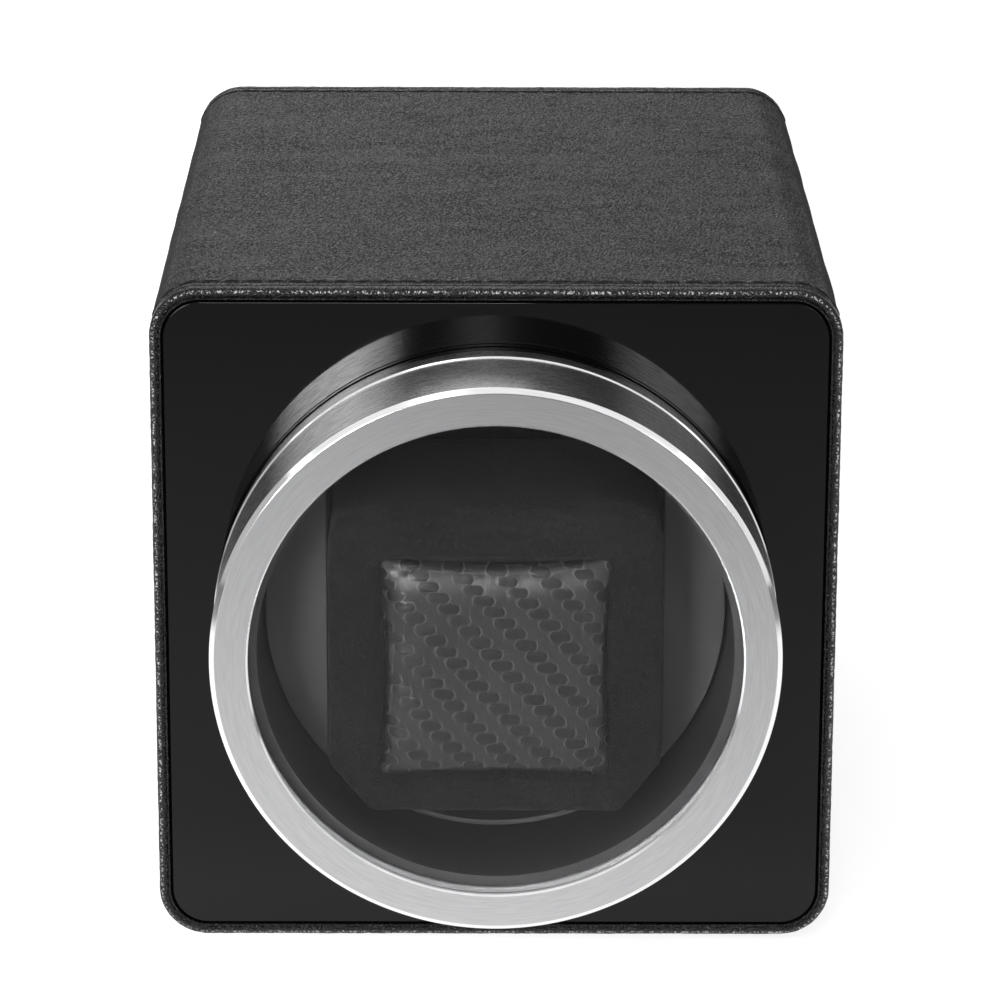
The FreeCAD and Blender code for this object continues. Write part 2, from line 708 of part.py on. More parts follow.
def make_rotor_carrier():
    """A drum with a channel for the pillow: two cheeks, a thin rim, a back and a hub."""
    body = new_body("rotor_carrier")
    disc = new_sketch(body, "XZ_Plane", "0", CARRIER_FRONT, AXIS_Z)
    draw_circle(disc, ROTOR_RADIUS)
    add_pad(body, disc, "channel_depth + carrier_back")
    channel = new_sketch(body, "XZ_Plane", "0", CARRIER_FRONT, AXIS_Z)
    across, up = f"({CHANNEL_WIDTH} / 2)", f"({ROTOR_RADIUS} + rotor_clearance)"
    draw_polygon(channel, [(f"-{across}", f"-{up}"), (across, f"-{up}"), (across, up), (f"-{across}", up)])
    add_pocket(body, channel, "channel_depth")
    rim = new_sketch(body, "XZ_Plane", "0", CARRIER_FRONT, AXIS_Z)
    draw_circle(rim, ROTOR_RADIUS)
    draw_circle(rim, f"{ROTOR_RADIUS} - carrier_rim")
    add_pad(body, rim, "channel_depth")
    hub = new_sketch(body, "XZ_Plane", "0", CARRIER_BACK, AXIS_Z)
    draw_circle(hub, "hub_radius")
    add_pad(body, hub, "hub_length")
    bores = [("shaft_radius + press_fit", "0", "0")]
    bores += [("screw_radius + press_fit", across, up) for across, up in around("pulley_screw_circle", 3)]
    drill(body, f"{PULLEY_FRONT} - shaft_seat", "shaft_seat", bores)


def make_channel_lining():
    x, z = "0", AXIS_Z
    height = f"2 * {ROTOR_RADIUS}"
    outer = block("lining_outer", CHANNEL_WIDTH, "channel_depth", height, x, CARRIER_FRONT, z)
    inner = block("lining_inner", f"{CHANNEL_WIDTH} - 2 * lining_thickness",
                  "channel_depth - lining_thickness", height, x, CARRIER_FRONT, z)
    limit = cylinder("lining_limit", f"{ROTOR_RADIUS} - carrier_rim - lining_thickness",
                     "channel_depth", x, CARRIER_FRONT, z)
    lining = document.addObject("Part::Common", "channel_lining")
    lining.Base = cut("lining_trough", outer, inner)
    lining.Tool = limit
    keep(lining, "channel_lining")


def soft_feature(label, shape):
    """A soft piece's solid, shaped in its place."""
    feature = document.addObject("Part::Feature", label)
    feature.Shape = shape
    feature.Placement = FreeCAD.Placement(Vector(0, 0, value(AXIS_Z)), FreeCAD.Rotation())
    return keep(feature, label)


def arc_through(*points):
    return Part.Arc(*points).toShape()


def pillow_outline(y):
    """The pillow block seen from the front: full sides, cut lower corners, round upper ones."""
    half, bulge, radius = value("pillow_width / 2"), value("pillow_bulge"), value("pillow_shoulder")
    top = value(PILLOW_TOP)
    bottom = top - value("pillow_height")
    side = half - bulge
    cut_in, cut_up = value("pillow_corner_width"), value("pillow_corner_height")
    shoulder = radius * math.sin(math.pi / 4)
    edges = [Part.LineSegment(Vector(radius - side, y, top), Vector(side - radius, y, top)).toShape()]
    for sign in (1, -1):
        centre = Vector(sign * (side - radius), y, top - radius)
        shoulder_start = centre + Vector(0, 0, radius)
        shoulder_end = centre + Vector(sign * radius, 0, 0)
        side_end = Vector(sign * side, y, bottom + cut_up)
        foot = Vector(sign * (side - cut_in), y, bottom)
        middle = Vector(sign * half, y, (shoulder_end.z + side_end.z) / 2)
        shoulder_middle = centre + Vector(sign * shoulder, 0, shoulder)
        edges.append(arc_through(shoulder_start, shoulder_middle, shoulder_end))
        edges.append(arc_through(shoulder_end, middle, side_end))
        edges.append(Part.LineSegment(side_end, foot).toShape())
    foot_half = side - cut_in
    edges.append(Part.LineSegment(Vector(foot_half, y, bottom), Vector(-foot_half, y, bottom)).toShape())
    return Part.Wire(Part.__sortEdges__(edges))


def make_pillow_body():
    front, depth = value(PILLOW_FRONT), value("pillow_depth")
    solid = Part.Face(pillow_outline(front)).extrude(Vector(0, depth, 0))
    rim = [edge for edge in solid.Edges if edge.BoundBox.YLength < SAME_PLACE]
    solid = solid.makeFillet(value("pillow_round"), rim)
    width, height = value("pad_width + 2 * pad_gap"), value("pad_height + 2 * pad_gap")
    corner = Vector(-width / 2, front, -height / 2 - value("pad_drop"))
    soft_feature("pillow_body", solid.cut(Part.makeBox(width, value("pad_sink"), height, corner)))


def pad_section(x, crown):
    """A section of the pad across its height: a flat back, short edges and a crowned front."""
    half, edge = value("pad_height / 2"), value("pad_edge_height")
    middle = -value("pad_drop")
    back = value(f"{PILLOW_FRONT} + pad_sink")
    low_back, high_back = Vector(x, back, middle - half), Vector(x, back, middle + half)
    low_front, high_front = low_back - Vector(0, edge, 0), high_back - Vector(0, edge, 0)
    peak = Vector(x, back - edge - crown, middle)
    return Part.Wire([
        Part.LineSegment(low_back, high_back).toShape(),
        Part.LineSegment(high_back, high_front).toShape(),
        arc_through(high_front, peak, low_front),
        Part.LineSegment(low_front, low_back).toShape(),
    ])


def make_pillow_pad():
    """The crowned pad, its four sides drawn in between the corners."""
    half_width, half_height = value("pad_width / 2"), value("pad_height / 2")
    draw, middle = value("pad_draw"), -value("pad_drop")
    back = value(f"{PILLOW_FRONT} + pad_sink")
    full_rise = value("pad_sink + pad_proud")
    rise = full_rise - value("pad_edge_height")
    sections = []
    for share in PAD_SECTIONS:
        crown = rise * max(1 - share * share, PAD_LEAST_CROWN)
        sections.append(pad_section(share * half_width, crown))
    solid = Part.makeLoft(sections, True)
    for half_length, offset, direction in (
            (half_height, half_width, Vector(1, 0, 0)),
            (half_width, half_height, Vector(0, 0, 1))):
        radius = (half_length ** 2 + draw ** 2) / (2 * draw)
        for sign in (1, -1):
            centre = direction * (sign * (offset + radius - draw)) + Vector(0, back, middle)
            start = centre - Vector(0, 2 * full_rise, 0)
            solid = solid.cut(Part.makeCylinder(radius, 4 * full_rise, start, Vector(0, 1, 0)))
    soft_feature("pillow_pad", solid)


# Drive


def pulley_profile(bore, root, boss, boss_length):
    """A flanged pulley with a boss on its rear face."""
    flange = f"({root} + flange_height)"
    back = f"({PULLEY_WIDTH} + {boss_length})"
    return [
        (bore, "0"),
        (flange, "0"),
        (flange, "flange_thickness"),
        (root, "flange_thickness"),
        (root, "flange_thickness + groove_width"),
        (flange, "flange_thickness + groove_width"),
        (flange, PULLEY_WIDTH),
        (boss, PULLEY_WIDTH),
        (boss, back),
        (bore, back),
    ]


def make_rotor_drive():
    pulley = turned("rotor_pulley", pulley_profile("shaft_radius + press_fit", "pulley_root_radius",
                                                   "pulley_boss_radius", "pulley_boss_length"), PULLEY_FRONT)
    drill(pulley, PULLEY_FRONT, PULLEY_WIDTH,
          [("screw_radius + press_fit", across, up) for across, up in around("pulley_screw_circle", 3)])
    screws("pulley_screws", from_axis(around("pulley_screw_circle", 3)), f"{PULLEY_FRONT} + {PULLEY_WIDTH}",
           f"{PULLEY_WIDTH} + shaft_seat", TOWARD_FRONT)
    start = f"({PULLEY_FRONT} - shaft_seat)"
    clip_front = f"({HOUSING_BACK} + thrust_gap - {start})"
    clip_back = f"({clip_front} + circlip_thickness)"
    end = f"({clip_back} + circlip_thickness)"
    turned("rotor_shaft", [("0", "0"), ("shaft_radius", "0"), ("shaft_radius", clip_front),
                           ("shaft_radius - circlip_bite", clip_front),
                           ("shaft_radius - circlip_bite", clip_back),
                           ("shaft_radius", clip_back), ("shaft_radius", end), ("0", end)], start)
    inner, outer = "shaft_radius - circlip_bite", "(shaft_radius + circlip_height)"
    clip_place = f"{HOUSING_BACK} + thrust_gap"
    clip = turned("shaft_circlip", tube_profile(inner, outer, "circlip_thickness"), clip_place)
    mouth = new_sketch(clip, "XZ_Plane", "0", clip_place, AXIS_Z)
    gap = "(shaft_radius / 2)"
    mouth_top = f"2 * {outer}"
    draw_polygon(mouth, [(f"-{gap}", "0"), (gap, "0"), (gap, mouth_top), (f"-{gap}", mouth_top)])
    add_pocket(clip, mouth, "circlip_thickness")


def make_bearing():
    bore = "(bush_radius + press_fit)"
    flange = f"({HOUSING_RADIUS} + housing_flange)"
    flange_front = "plate_thickness"
    flange_back = "(plate_thickness + housing_flange_thickness)"
    length = "(plate_thickness + housing_tail)"
    housing = turned("bearing_housing", [
        (bore, "0"), (HOUSING_RADIUS, "0"), (HOUSING_RADIUS, flange_front), (flange, flange_front),
        (flange, flange_back), (HOUSING_RADIUS, flange_back), (HOUSING_RADIUS, length), (bore, length),
    ], PLATE_FRONT)
    places = around("bearing_screw_circle", 3, 90.0)
    holes = [("screw_radius + press_fit", across, up) for across, up in places]
    drill(housing, PLATE_BACK, "housing_flange_thickness", holes)
    screws("bearing_screws", from_axis(places), f"{PLATE_BACK} + housing_flange_thickness",
           "housing_flange_thickness + plate_thickness", TOWARD_FRONT)
    bush = tube_profile("shaft_radius + running_fit", "bush_radius", "bush_length")
    turned("front_bush", bush, PLATE_FRONT)
    turned("rear_bush", bush, f"{HOUSING_BACK} - bush_length")


def make_drive_plate():
    body = rounded_plate("drive_plate", f"{INNER_WIDTH} - 2 * plate_clearance",
                         f"{INNER_HEIGHT} - 2 * plate_clearance", "inner_corner_radius", PLATE_FRONT,
                         "plate_thickness")
    clear = "screw_radius + press_fit"
    holes = [(f"{HOUSING_RADIUS} + press_fit", "0", "0"),
             ("gearbox_boss_radius + press_fit", MOTOR_X, "-motor_offset_down")]
    holes += [(clear, across, up) for across, up in four_corners(POST_X, POST_Z)]
    holes += [(clear, across, up) for across, up in around("bearing_screw_circle", 3, 90.0)]
    holes += [(clear, f"{MOTOR_X} + {across}", f"-motor_offset_down + {up}")
              for across, up in around("motor_screw_circle", 2)]
    drill(body, PLATE_FRONT, "plate_thickness", holes)


def make_chassis_posts():
    posts = []
    for index, (x, z) in enumerate(from_axis(four_corners(POST_X, POST_Z)), start=1):
        length = f"{PLATE_FRONT} - {BULKHEAD_BACK}"
        stem = prism(f"post_stem_{index}", "post_across / sqrt(3)", length, x, BULKHEAD_BACK, z)
        stud = cylinder(f"post_stud_{index}", "screw_radius", "stud_length",
                        x, BULKHEAD_BACK, z, TOWARD_FRONT)
        hole = cylinder(f"post_hole_{index}", "screw_radius + press_fit", "post_screw_grip",
                        x, PLATE_FRONT, z, TOWARD_FRONT)
        posts.append(cut(f"post_{index}", fuse(f"post_solid_{index}", stem, stud), hole))
    group("chassis_posts", posts)
    screws("plate_screws", from_axis(four_corners(POST_X, POST_Z)), PLATE_BACK,
           "plate_thickness + post_screw_grip", TOWARD_FRONT)


def make_motor():
    bore = "(motor_shaft_radius + spindle_fit)"
    boss_front = f"{PLATE_BACK} - gearbox_boss_length"
    shaft_depth = "(gearbox_boss_length + motor_shaft_depth)"
    back = "(gearbox_boss_length + gearbox_length)"
    gearbox = turned("motor_gearbox", [
        (bore, "0"), ("gearbox_boss_radius", "0"), ("gearbox_boss_radius", "gearbox_boss_length"),
        ("gearbox_radius", "gearbox_boss_length"), ("gearbox_radius", back), ("0", back),
        ("0", shaft_depth), (bore, shaft_depth),
    ], boss_front, MOTOR_X, MOTOR_Z)
    taps = [("screw_radius + press_fit", f"{MOTOR_X} + {across}", f"-motor_offset_down + {up}")
            for across, up in around("motor_screw_circle", 2)]
    drill(gearbox, PLATE_BACK, "screw_grip - plate_thickness", taps)
    places = from_axis(around("motor_screw_circle", 2), MOTOR_X, MOTOR_Z)
    screws("motor_screws", places, PLATE_FRONT, "screw_grip")
    tail = "(motor_length + motor_tail_length)"
    turned("motor_can", [("0", "0"), ("motor_radius", "0"), ("motor_radius", "motor_length"),
                         ("motor_tail_radius", "motor_length"), ("motor_tail_radius", tail), ("0", tail)],
           GEARBOX_BACK, MOTOR_X, MOTOR_Z)
    shaft_length = f"({PLATE_BACK} + motor_shaft_depth - {PULLEY_FRONT} - spindle_fit)"
    turned("motor_shaft", [("0", "0"), ("motor_shaft_radius", "0"), ("motor_shaft_radius", shaft_length),
                           ("0", shaft_length)], PULLEY_FRONT, MOTOR_X, MOTOR_Z)
    pulley = turned("drive_pulley", pulley_profile("motor_shaft_radius + press_fit", "drive_root_radius",
                                                   "drive_boss_radius", "drive_boss_length"),
                    PULLEY_FRONT, MOTOR_X, MOTOR_Z)
    make_grub_screw(pulley)


def make_grub_screw(pulley):
    """A grub screw through the pulley's boss, pointing down on to the shaft."""
    middle = f"({DRIVE_PULLEY_BACK} - drive_boss_length / 2)"
    sketch = new_sketch(pulley, "XY_Plane", MOTOR_X, middle, MOTOR_Z)
    draw_circle(sketch, "drive_boss_length / 4 + press_fit")
    add_pocket(pulley, sketch, "drive_boss_radius", toward_normal=True)
    grub = cylinder("pulley_grub_screw", "drive_boss_length / 4",
                    "drive_boss_radius - motor_shaft_radius - press_fit", MOTOR_X, middle,
                    f"{MOTOR_Z} + motor_shaft_radius + press_fit", FreeCAD.Rotation())
    keep(grub, "pulley_grub_screw")


def draw_belt_loop(sketch, drum_radius, motor_radius):
    """A closed loop about the two pulleys: two arcs and the two straight runs between them."""
    large, small = value(drum_radius), value(motor_radius)
    across, down = value(MOTOR_X), value("motor_offset_down")
    distance = math.hypot(across, down)
    toward = math.atan2(-down, across)
    lap = math.acos((large - small) / distance)
    motor = Vector(across, -down, 0)
    normal = Vector(0, 0, 1)

    def rim(centre, radius, angle):
        return centre + Vector(radius * math.cos(angle), radius * math.sin(angle), 0)

    start, end = toward + lap, toward - lap
    drum_circle = Part.Circle(Vector(), normal, large)
    motor_circle = Part.Circle(motor, normal, small)
    upper_run = Part.LineSegment(rim(Vector(), large, start), rim(motor, small, start))
    lower_run = Part.LineSegment(rim(motor, small, end), rim(Vector(), large, end))
    drum = sketch.addGeometry(Part.ArcOfCircle(drum_circle, start, end + 2 * math.pi))
    upper = sketch.addGeometry(upper_run)
    pinion = sketch.addGeometry(Part.ArcOfCircle(motor_circle, end, start))
    lower = sketch.addGeometry(lower_run)
    for first, first_point, second, second_point in ((drum, 1, upper, 1), (upper, 2, pinion, 2),
                                                     (pinion, 1, lower, 1), (lower, 2, drum, 2)):
        sketch.addConstraint(Sketcher.Constraint("Tangent", first, first_point, second, second_point))
    fix_point(sketch, drum, 3, "0", "0")
    fix_point(sketch, pinion, 3, MOTOR_X, "-motor_offset_down")
    for arc, radius in ((drum, drum_radius), (pinion, motor_radius)):
        sketch.addConstraint(Sketcher.Constraint("Radius", arc, value(radius)))
        bind_last(sketch, radius)


def make_belt():
    body = new_body("drive_belt")
    sketch = new_sketch(body, "XZ_Plane", "0", BELT_FRONT, AXIS_Z)
    draw_belt_loop(sketch, "pulley_root_radius + belt_clearance", "drive_root_radius + belt_clearance")
    draw_belt_loop(sketch, "pulley_root_radius + belt_clearance + belt_thickness",
                   "drive_root_radius + belt_clearance + belt_thickness")
    add_pad(body, sketch, "belt_width")


# Rear panel and controls


def make_rear_panel():
    body = rounded_plate("rear_panel", PANEL_WIDTH, PANEL_HEIGHT, PANEL_RADIUS, REAR_PANEL_FRONT,
                         "rear_panel_thickness")
    add_edge_feature(body, "PartDesign::Chamfer", "panel_edge", on_outer_rim(body, value(REAR_PANEL_BACK)))
    holes = [("bushing_radius + press_fit", f"{side}{KNOB_X}", "control_rise") for side in ("", "-")]
    holes.append(("jack_barrel_radius + press_fit", "0", "-jack_drop"))
    holes += [("screw_radius + press_fit", across, up) for across, up in four_corners(BLOCK_X, BLOCK_Z)]
    drill(body, REAR_PANEL_FRONT, "rear_panel_thickness", holes)
    blocks = []
    for index, (x, z) in enumerate(from_axis(four_corners(BLOCK_X, BLOCK_Z)), start=1):
        stock = block(f"corner_stock_{index}", "block_size", "block_length", "block_size", x,
                      f"{REAR_PANEL_FRONT} - block_length", z)
        hole = cylinder(f"corner_hole_{index}", "screw_radius + press_fit", "screw_grip",
                        x, REAR_PANEL_FRONT, z, TOWARD_FRONT)
        blocks.append(cut(f"corner_block_{index}", stock, hole))
    group("corner_blocks", blocks)
    screws("rear_screws", from_axis(four_corners(BLOCK_X, BLOCK_Z)), REAR_PANEL_BACK,
           "rear_panel_thickness + screw_grip", TOWARD_FRONT)


def make_control_board():
    board = block("board_stock", "board_width", "board_thickness", "board_height",
                  "0", BOARD_FRONT, CONTROL_Z)
    corners = from_axis(four_corners(BOARD_HOLE_X, BOARD_HOLE_Z), z=CONTROL_Z)
    holes = []
    standoffs = []
    for index, (x, z) in enumerate(corners, start=1):
        clear = "screw_radius + press_fit"
        holes.append(cylinder(f"board_hole_{index}", clear, "board_thickness", x, BOARD_FRONT, z))
        stem = cylinder(f"standoff_stem_{index}", "standoff_radius", "standoff_length", x, BOARD_BACK, z)
        tap = cylinder(f"standoff_tap_{index}", clear, "screw_grip", x, BOARD_BACK, z)
        standoffs.append(cut(f"standoff_{index}", stem, tap))
    keep(cut("control_board", board, fuse("board_holes", *holes)), "control_board")
    group("board_standoffs", standoffs)
    screws("board_screws", corners, BOARD_FRONT, "screw_grip")


def make_control(name, side):
    """A rotary switch on the board, its spindle, and the knob with its pointer."""
    x, z = f"{side}{KNOB_X}", CONTROL_Z
    case = block(f"{name}_switch_case", "switch_size", "standoff_length", "switch_size", x, BOARD_BACK, z)
    bushing = cylinder(f"{name}_bushing", "bushing_radius", "rear_panel_thickness + bushing_reach",
                       x, REAR_PANEL_FRONT, z)
    bore = cylinder(f"{name}_bore", "spindle_radius + spindle_fit",
                    "standoff_length / 2 + rear_panel_thickness + bushing_reach",
                    x, f"{REAR_PANEL_FRONT} - standoff_length / 2", z)
    switch = cut(f"{name}_switch", fuse(f"{name}_switch_solid", case, bushing), bore)
    keep(switch, f"{name}_switch")
    spindle_start = f"({REAR_PANEL_FRONT} - standoff_length / 2 + spindle_fit)"
    spindle_end = f"({KNOB_BACK} - knob_top_wall)"
    spindle = cylinder(f"{name}_spindle", "spindle_radius", f"{spindle_end} - {spindle_start}",
                       x, spindle_start, z)
    keep(spindle, f"{name}_spindle")
    make_knob(name, x, z, spindle_end)
    nut = prism(f"{name}_nut_stock", "nut_radius", "nut_height", x, REAR_PANEL_BACK, z)
    hole = cylinder(f"{name}_nut_hole", "bushing_radius + press_fit", "nut_height", x, REAR_PANEL_BACK, z)
    return cut(f"{name}_nut", nut, hole)


def make_knob(name, x, z, spindle_end):
    """A fluted knob: hollow over the nut, bored for the spindle, with a pointer let into its face."""
    knob = new_body(f"{name}_knob")
    stock = new_sketch(knob, "XZ_Plane", x, KNOB_FRONT, z)
    draw_circle(stock, "knob_radius")
    add_pad(knob, stock, "knob_length")
    skirt = new_sketch(knob, "XZ_Plane", x, KNOB_FRONT, z)
    draw_circle(skirt, "nut_radius + knob_clearance")
    add_pocket(knob, skirt, "bushing_reach + knob_clearance")
    bore = new_sketch(knob, "XZ_Plane", x, KNOB_FRONT, z)
    draw_circle(bore, "spindle_radius + press_fit")
    add_pocket(knob, bore, f"{spindle_end} - {KNOB_FRONT}")
    slot = new_sketch(knob, "XZ_Plane", x, f"{KNOB_BACK} - pointer_depth", z)
    half = "(pointer_width / 2)"
    top = "(knob_radius - 2 * flute_radius)"
    low = f"({top} - pointer_length)"
    draw_polygon(slot, [(f"-{half}", low), (half, low), (half, top), (f"-{half}", top)])
    add_pocket(knob, slot, "pointer_depth")
    flute = new_sketch(knob, "XZ_Plane", x, KNOB_FRONT, z)
    draw_circle(flute, "flute_radius", "0", "knob_radius + flute_radius / 2")
    cut_in = add_pocket(knob, flute, "knob_length - flute_radius")
    add_polar(knob, cut_in, flute, FLUTE_COUNT)
    pointer = block(f"{name}_pointer", "pointer_width", "pointer_depth", "pointer_length", x,
                    f"{KNOB_BACK} - pointer_depth", f"{z} + {top} - pointer_length / 2")
    keep(pointer, f"{name}_pointer")


def make_controls():
    group("switch_nuts", [make_control("speed", "-"), make_control("direction", "")])


def make_jack():
    barrel = "jack_barrel_radius"
    length = "(jack_body_length + jack_flange_thickness)"
    bore_end = f"({length} - jack_bore_depth)"
    turned("dc_jack", [
        ("0", "0"), (barrel, "0"), (barrel, "jack_body_length"), ("jack_flange_radius", "jack_body_length"),
        ("jack_flange_radius", length), ("jack_bore_radius", length), ("jack_bore_radius", bore_end),
        ("0", bore_end),
    ], JACK_FRONT, "0", JACK_Z)
    pin = cylinder("jack_pin", "jack_pin_radius", "jack_pin_length", "0",
                   f"{REAR_PANEL_BACK} + jack_flange_thickness - jack_bore_depth", JACK_Z)
    keep(pin, "jack_pin")
    nut_front = f"{REAR_PANEL_FRONT} - nut_height"
    nut = prism("jack_nut_stock", "nut_radius", "nut_height", "0", nut_front, JACK_Z)
    hole = cylinder("jack_nut_hole", f"{barrel} + press_fit", "nut_height", "0", nut_front, JACK_Z)
    keep(cut("jack_nut", nut, hole), "jack_nut")


def lead(points, radius, bend):
    """A round lead along straight runs joined by arcs."""
    edges = []
    start = points[0]
    for before, corner, after in zip(points, points[1:], points[2:]):
        inward, outward = (before - corner).normalize(), (after - corner).normalize()
        entry, leaving = corner + inward * bend, corner + outward * bend
        middle = corner + (inward + outward) * (bend * (1 - math.sqrt(0.5)))
        edges.append(Part.LineSegment(start, entry).toShape())
        edges.append(arc_through(entry, middle, leaving))
        start = leaving
    edges.append(Part.LineSegment(start, points[-1]).toShape())
    heading = (points[1] - points[0]).normalize()
    section = Part.Wire([Part.Circle(points[0], heading, radius).toShape()])
    return Part.Wire(edges).makePipeShell([section], True, True)


def make_leads(label, x, start_y, start_z, back_y):
    """A pair of leads from a terminal, out to back_y, up, and on to the front of the board."""
    radius, bend = value("lead_radius"), value("lead_bend")
    top = value(f"{CONTROL_Z} - board_height / 2 + 3 * lead_bend / 2")
    solids = []
    for sign in (1, -1):
        across = value(x) + sign * value("lead_spacing / 2")
        heights = (start_z, start_z, top, top)
        depths = (start_y, back_y, back_y, value(BOARD_FRONT))
        points = [Vector(across, y, z) for y, z in zip(depths, heights)]
        solids.append(lead(points, radius, bend))
    feature = document.addObject("Part::Feature", label)
    feature.Shape = Part.makeCompound(solids)
    keep(feature, label)


def make_wiring():
    turn_y = value(f"({MOTOR_BACK} + {BOARD_FRONT}) / 2")
    terminal_z = value(f"{MOTOR_Z} + motor_radius - lead_bend")
    make_leads("motor_leads", MOTOR_X, value(MOTOR_BACK), terminal_z, turn_y)
    make_leads("power_leads", "0", value(JACK_FRONT), value(JACK_Z), turn_y)


def write_parts():
    """Check every object and sub-part, then write one file for each sub-part."""
    document.recompute()
    for item in document.Objects:
        if any(word in ("Invalid", "Error") for word in item.State):
            raise RuntimeError(f"{item.Label} failed: {item.State}")
    for piece in nodes:
        if piece.Shape.isNull() or not piece.Shape.isValid() or not piece.Shape.Solids:
            raise RuntimeError(f"{piece.Label} has no valid solid")
    os.makedirs("parts", exist_ok=True)
    for piece in nodes:
        piece.Shape.exportStep(f"parts/{piece.Label}.step")
    print(len(nodes), "sub-parts")


make_case_shell()
make_leather()
make_base_pad()
make_front_panel()
make_bulkhead()
make_base_ring()
make_drum_sleeve()
make_cover()
make_rotor_carrier()
make_channel_lining()
make_pillow_body()
make_pillow_pad()
make_rotor_drive()
make_bearing()
make_drive_plate()
make_chassis_posts()
make_motor()
make_belt()
make_rear_panel()
make_control_board()
make_controls()
make_jack()
make_wiring()
write_parts()
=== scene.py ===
# The dressed watch winder box: leather skin and edge bindings, stitched seams, turned aluminium
# window rings, a velvet pillow with a woven-look pad, and a finish for every piece of the mechanism.
import math

import bmesh
import bpy
from mathutils import Matrix, Vector, noise


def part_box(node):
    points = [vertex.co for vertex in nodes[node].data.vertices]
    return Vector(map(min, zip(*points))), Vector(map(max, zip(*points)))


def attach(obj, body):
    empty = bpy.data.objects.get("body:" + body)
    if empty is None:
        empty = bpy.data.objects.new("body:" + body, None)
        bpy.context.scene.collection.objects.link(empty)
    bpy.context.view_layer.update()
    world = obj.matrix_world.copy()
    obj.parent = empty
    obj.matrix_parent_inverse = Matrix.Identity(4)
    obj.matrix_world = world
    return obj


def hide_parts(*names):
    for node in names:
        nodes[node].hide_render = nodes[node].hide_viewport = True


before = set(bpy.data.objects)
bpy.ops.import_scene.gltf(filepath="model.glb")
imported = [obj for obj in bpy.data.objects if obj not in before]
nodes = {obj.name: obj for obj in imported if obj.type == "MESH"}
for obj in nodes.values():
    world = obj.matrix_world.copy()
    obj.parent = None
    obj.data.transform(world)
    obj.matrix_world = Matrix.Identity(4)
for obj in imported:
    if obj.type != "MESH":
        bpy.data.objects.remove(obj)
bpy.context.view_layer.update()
scene = bpy.context.scene
MM = 0.001

# Places and sizes read from the frame, in metres.
skin_low, skin_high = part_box("leather_wrap")
front_edge_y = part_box("front_binding")[0].y
rear_edge_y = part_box("rear_binding")[1].y
seam_front_y, seam_rear_y = skin_low.y, skin_high.y
case_half = skin_high.x
axis_z = (skin_low.z + skin_high.z) / 2
ring_low, ring_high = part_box("cover_ring")
base_low, base_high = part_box("base_ring")
glass_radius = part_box("window_glass")[1].x
block_low, block_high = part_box("pillow_body")
pad_low, pad_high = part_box("pillow_pad")
pad_half_width, pad_half_height = (pad_high.x - pad_low.x) / 2, (pad_high.z - pad_low.z) / 2

# The camera stands in front of the box, above it, and looks down at it.
CAMERA_PLACE = Vector((-3.5, -827.2, 317.9)) * MM
CAMERA_PITCH = math.radians(17.588)
CAMERA_YAW = math.radians(0.322)
CAMERA_ROLL = math.radians(0.215)
CAMERA_LENS = 167.98

# Leather
CORNER_RADIUS = 8.5 * MM
SKIN_STEP = 1.0 * MM
BINDING_STEP = 0.4 * MM
LEATHER_THICKNESS = 1.15 * MM
STITCH_PITCH = 3.7 * MM
STITCH_LENGTH = 2.7 * MM
THREAD_RADIUS = 0.27 * MM
STITCH_SETBACK = 0.85 * MM
STITCH_SINK = 0.1 * MM
BINDING_ROLL = 0.95 * MM
BINDING_CREST = 0.58 * MM
BINDING_CREASE = 2.7 * MM
BINDING_SEAM = 4.0 * MM

# Turned rings
RING_SEGMENTS = 360
WINDOW_RADIUS = 41.05 * MM
SEAT_BORE = 41.65 * MM

# Studio
WORLD_LEVEL = 0.1
FLOOR_LIFT = 0.83
FLOOR_REACH = 6.0

# Pillow
TWILL_COLUMN = 1.795 * MM
TWILL_ROW = 1.8 * MM
TWILL_REPEAT = 4
TWILL_SLANT = math.radians(3.2)
TWILL_START = (1.48, 2.2)
FLOAT_LENGTH, FLOAT_TAPER, FLOAT_END = 0.92, 0.4, 5.0
FLOAT_WIDTH, FLOAT_SIDE = 1.92, 10.0
PAD_CELLS = 40
PAD_POINTS = PAD_CELLS + 1
PAD_EDGE = 0.9 * MM
PAD_DRAW = 1.1 * MM
PAD_FULLNESS = 3.0
PAD_RELIEF = 0.1 * MM
SIM_SCALE = 40.0
BLOCK_VOXEL = 1.2 * MM


# Node trees


def is_output(value):
    """Whether a value is another node's output."""
    return isinstance(value, bpy.types.NodeSocket)


def give(tree, socket, value):
    """Set an input, or link it to another node's output."""
    if is_output(value):
        tree.links.new(value, socket)
    else:
        socket.default_value = value


def add(tree, kind, inputs=None, **settings):
    """Add a node, set its properties, and give its inputs a value or another node's output."""
    node = tree.nodes.new(kind)
    for name, value in settings.items():
        setattr(node, name, value)
    for name, value in (inputs or {}).items():
        give(tree, node.inputs[name], value)
    return node


def math_of(tree, operation, *values):
    """The result of a Math node on values or outputs."""
    return add(tree, "ShaderNodeMath", dict(enumerate(values)), operation=operation).outputs[0]


def ranged(tree, value, low, high, to_low=0.0, to_high=1.0):
    """A value mapped from one range to another, held inside it."""
    inputs = {0: value, 1: low, 2: high, 3: to_low, 4: to_high}
    return add(tree, "ShaderNodeMapRange", inputs).outputs[0]


def blend_colour(tree, factor, first, second):
    """A colour between two others, each of them three values or another node's output."""
    ends = [end if is_output(end) else (*end, 1.0) for end in (first, second)]
    return add(tree, "ShaderNodeMix", {0: factor, 6: ends[0], 7: ends[1]}, data_type="RGBA").outputs[2]


def noise_of(tree, vector, scale, detail=2.0, roughness=0.5, distortion=0.0):
    """Smooth noise from 0 to 1."""
    inputs = {"Vector": vector, "Scale": scale, "Detail": detail, "Roughness": roughness,
              "Distortion": distortion}
    return add(tree, "ShaderNodeTexNoise", inputs).outputs[0]


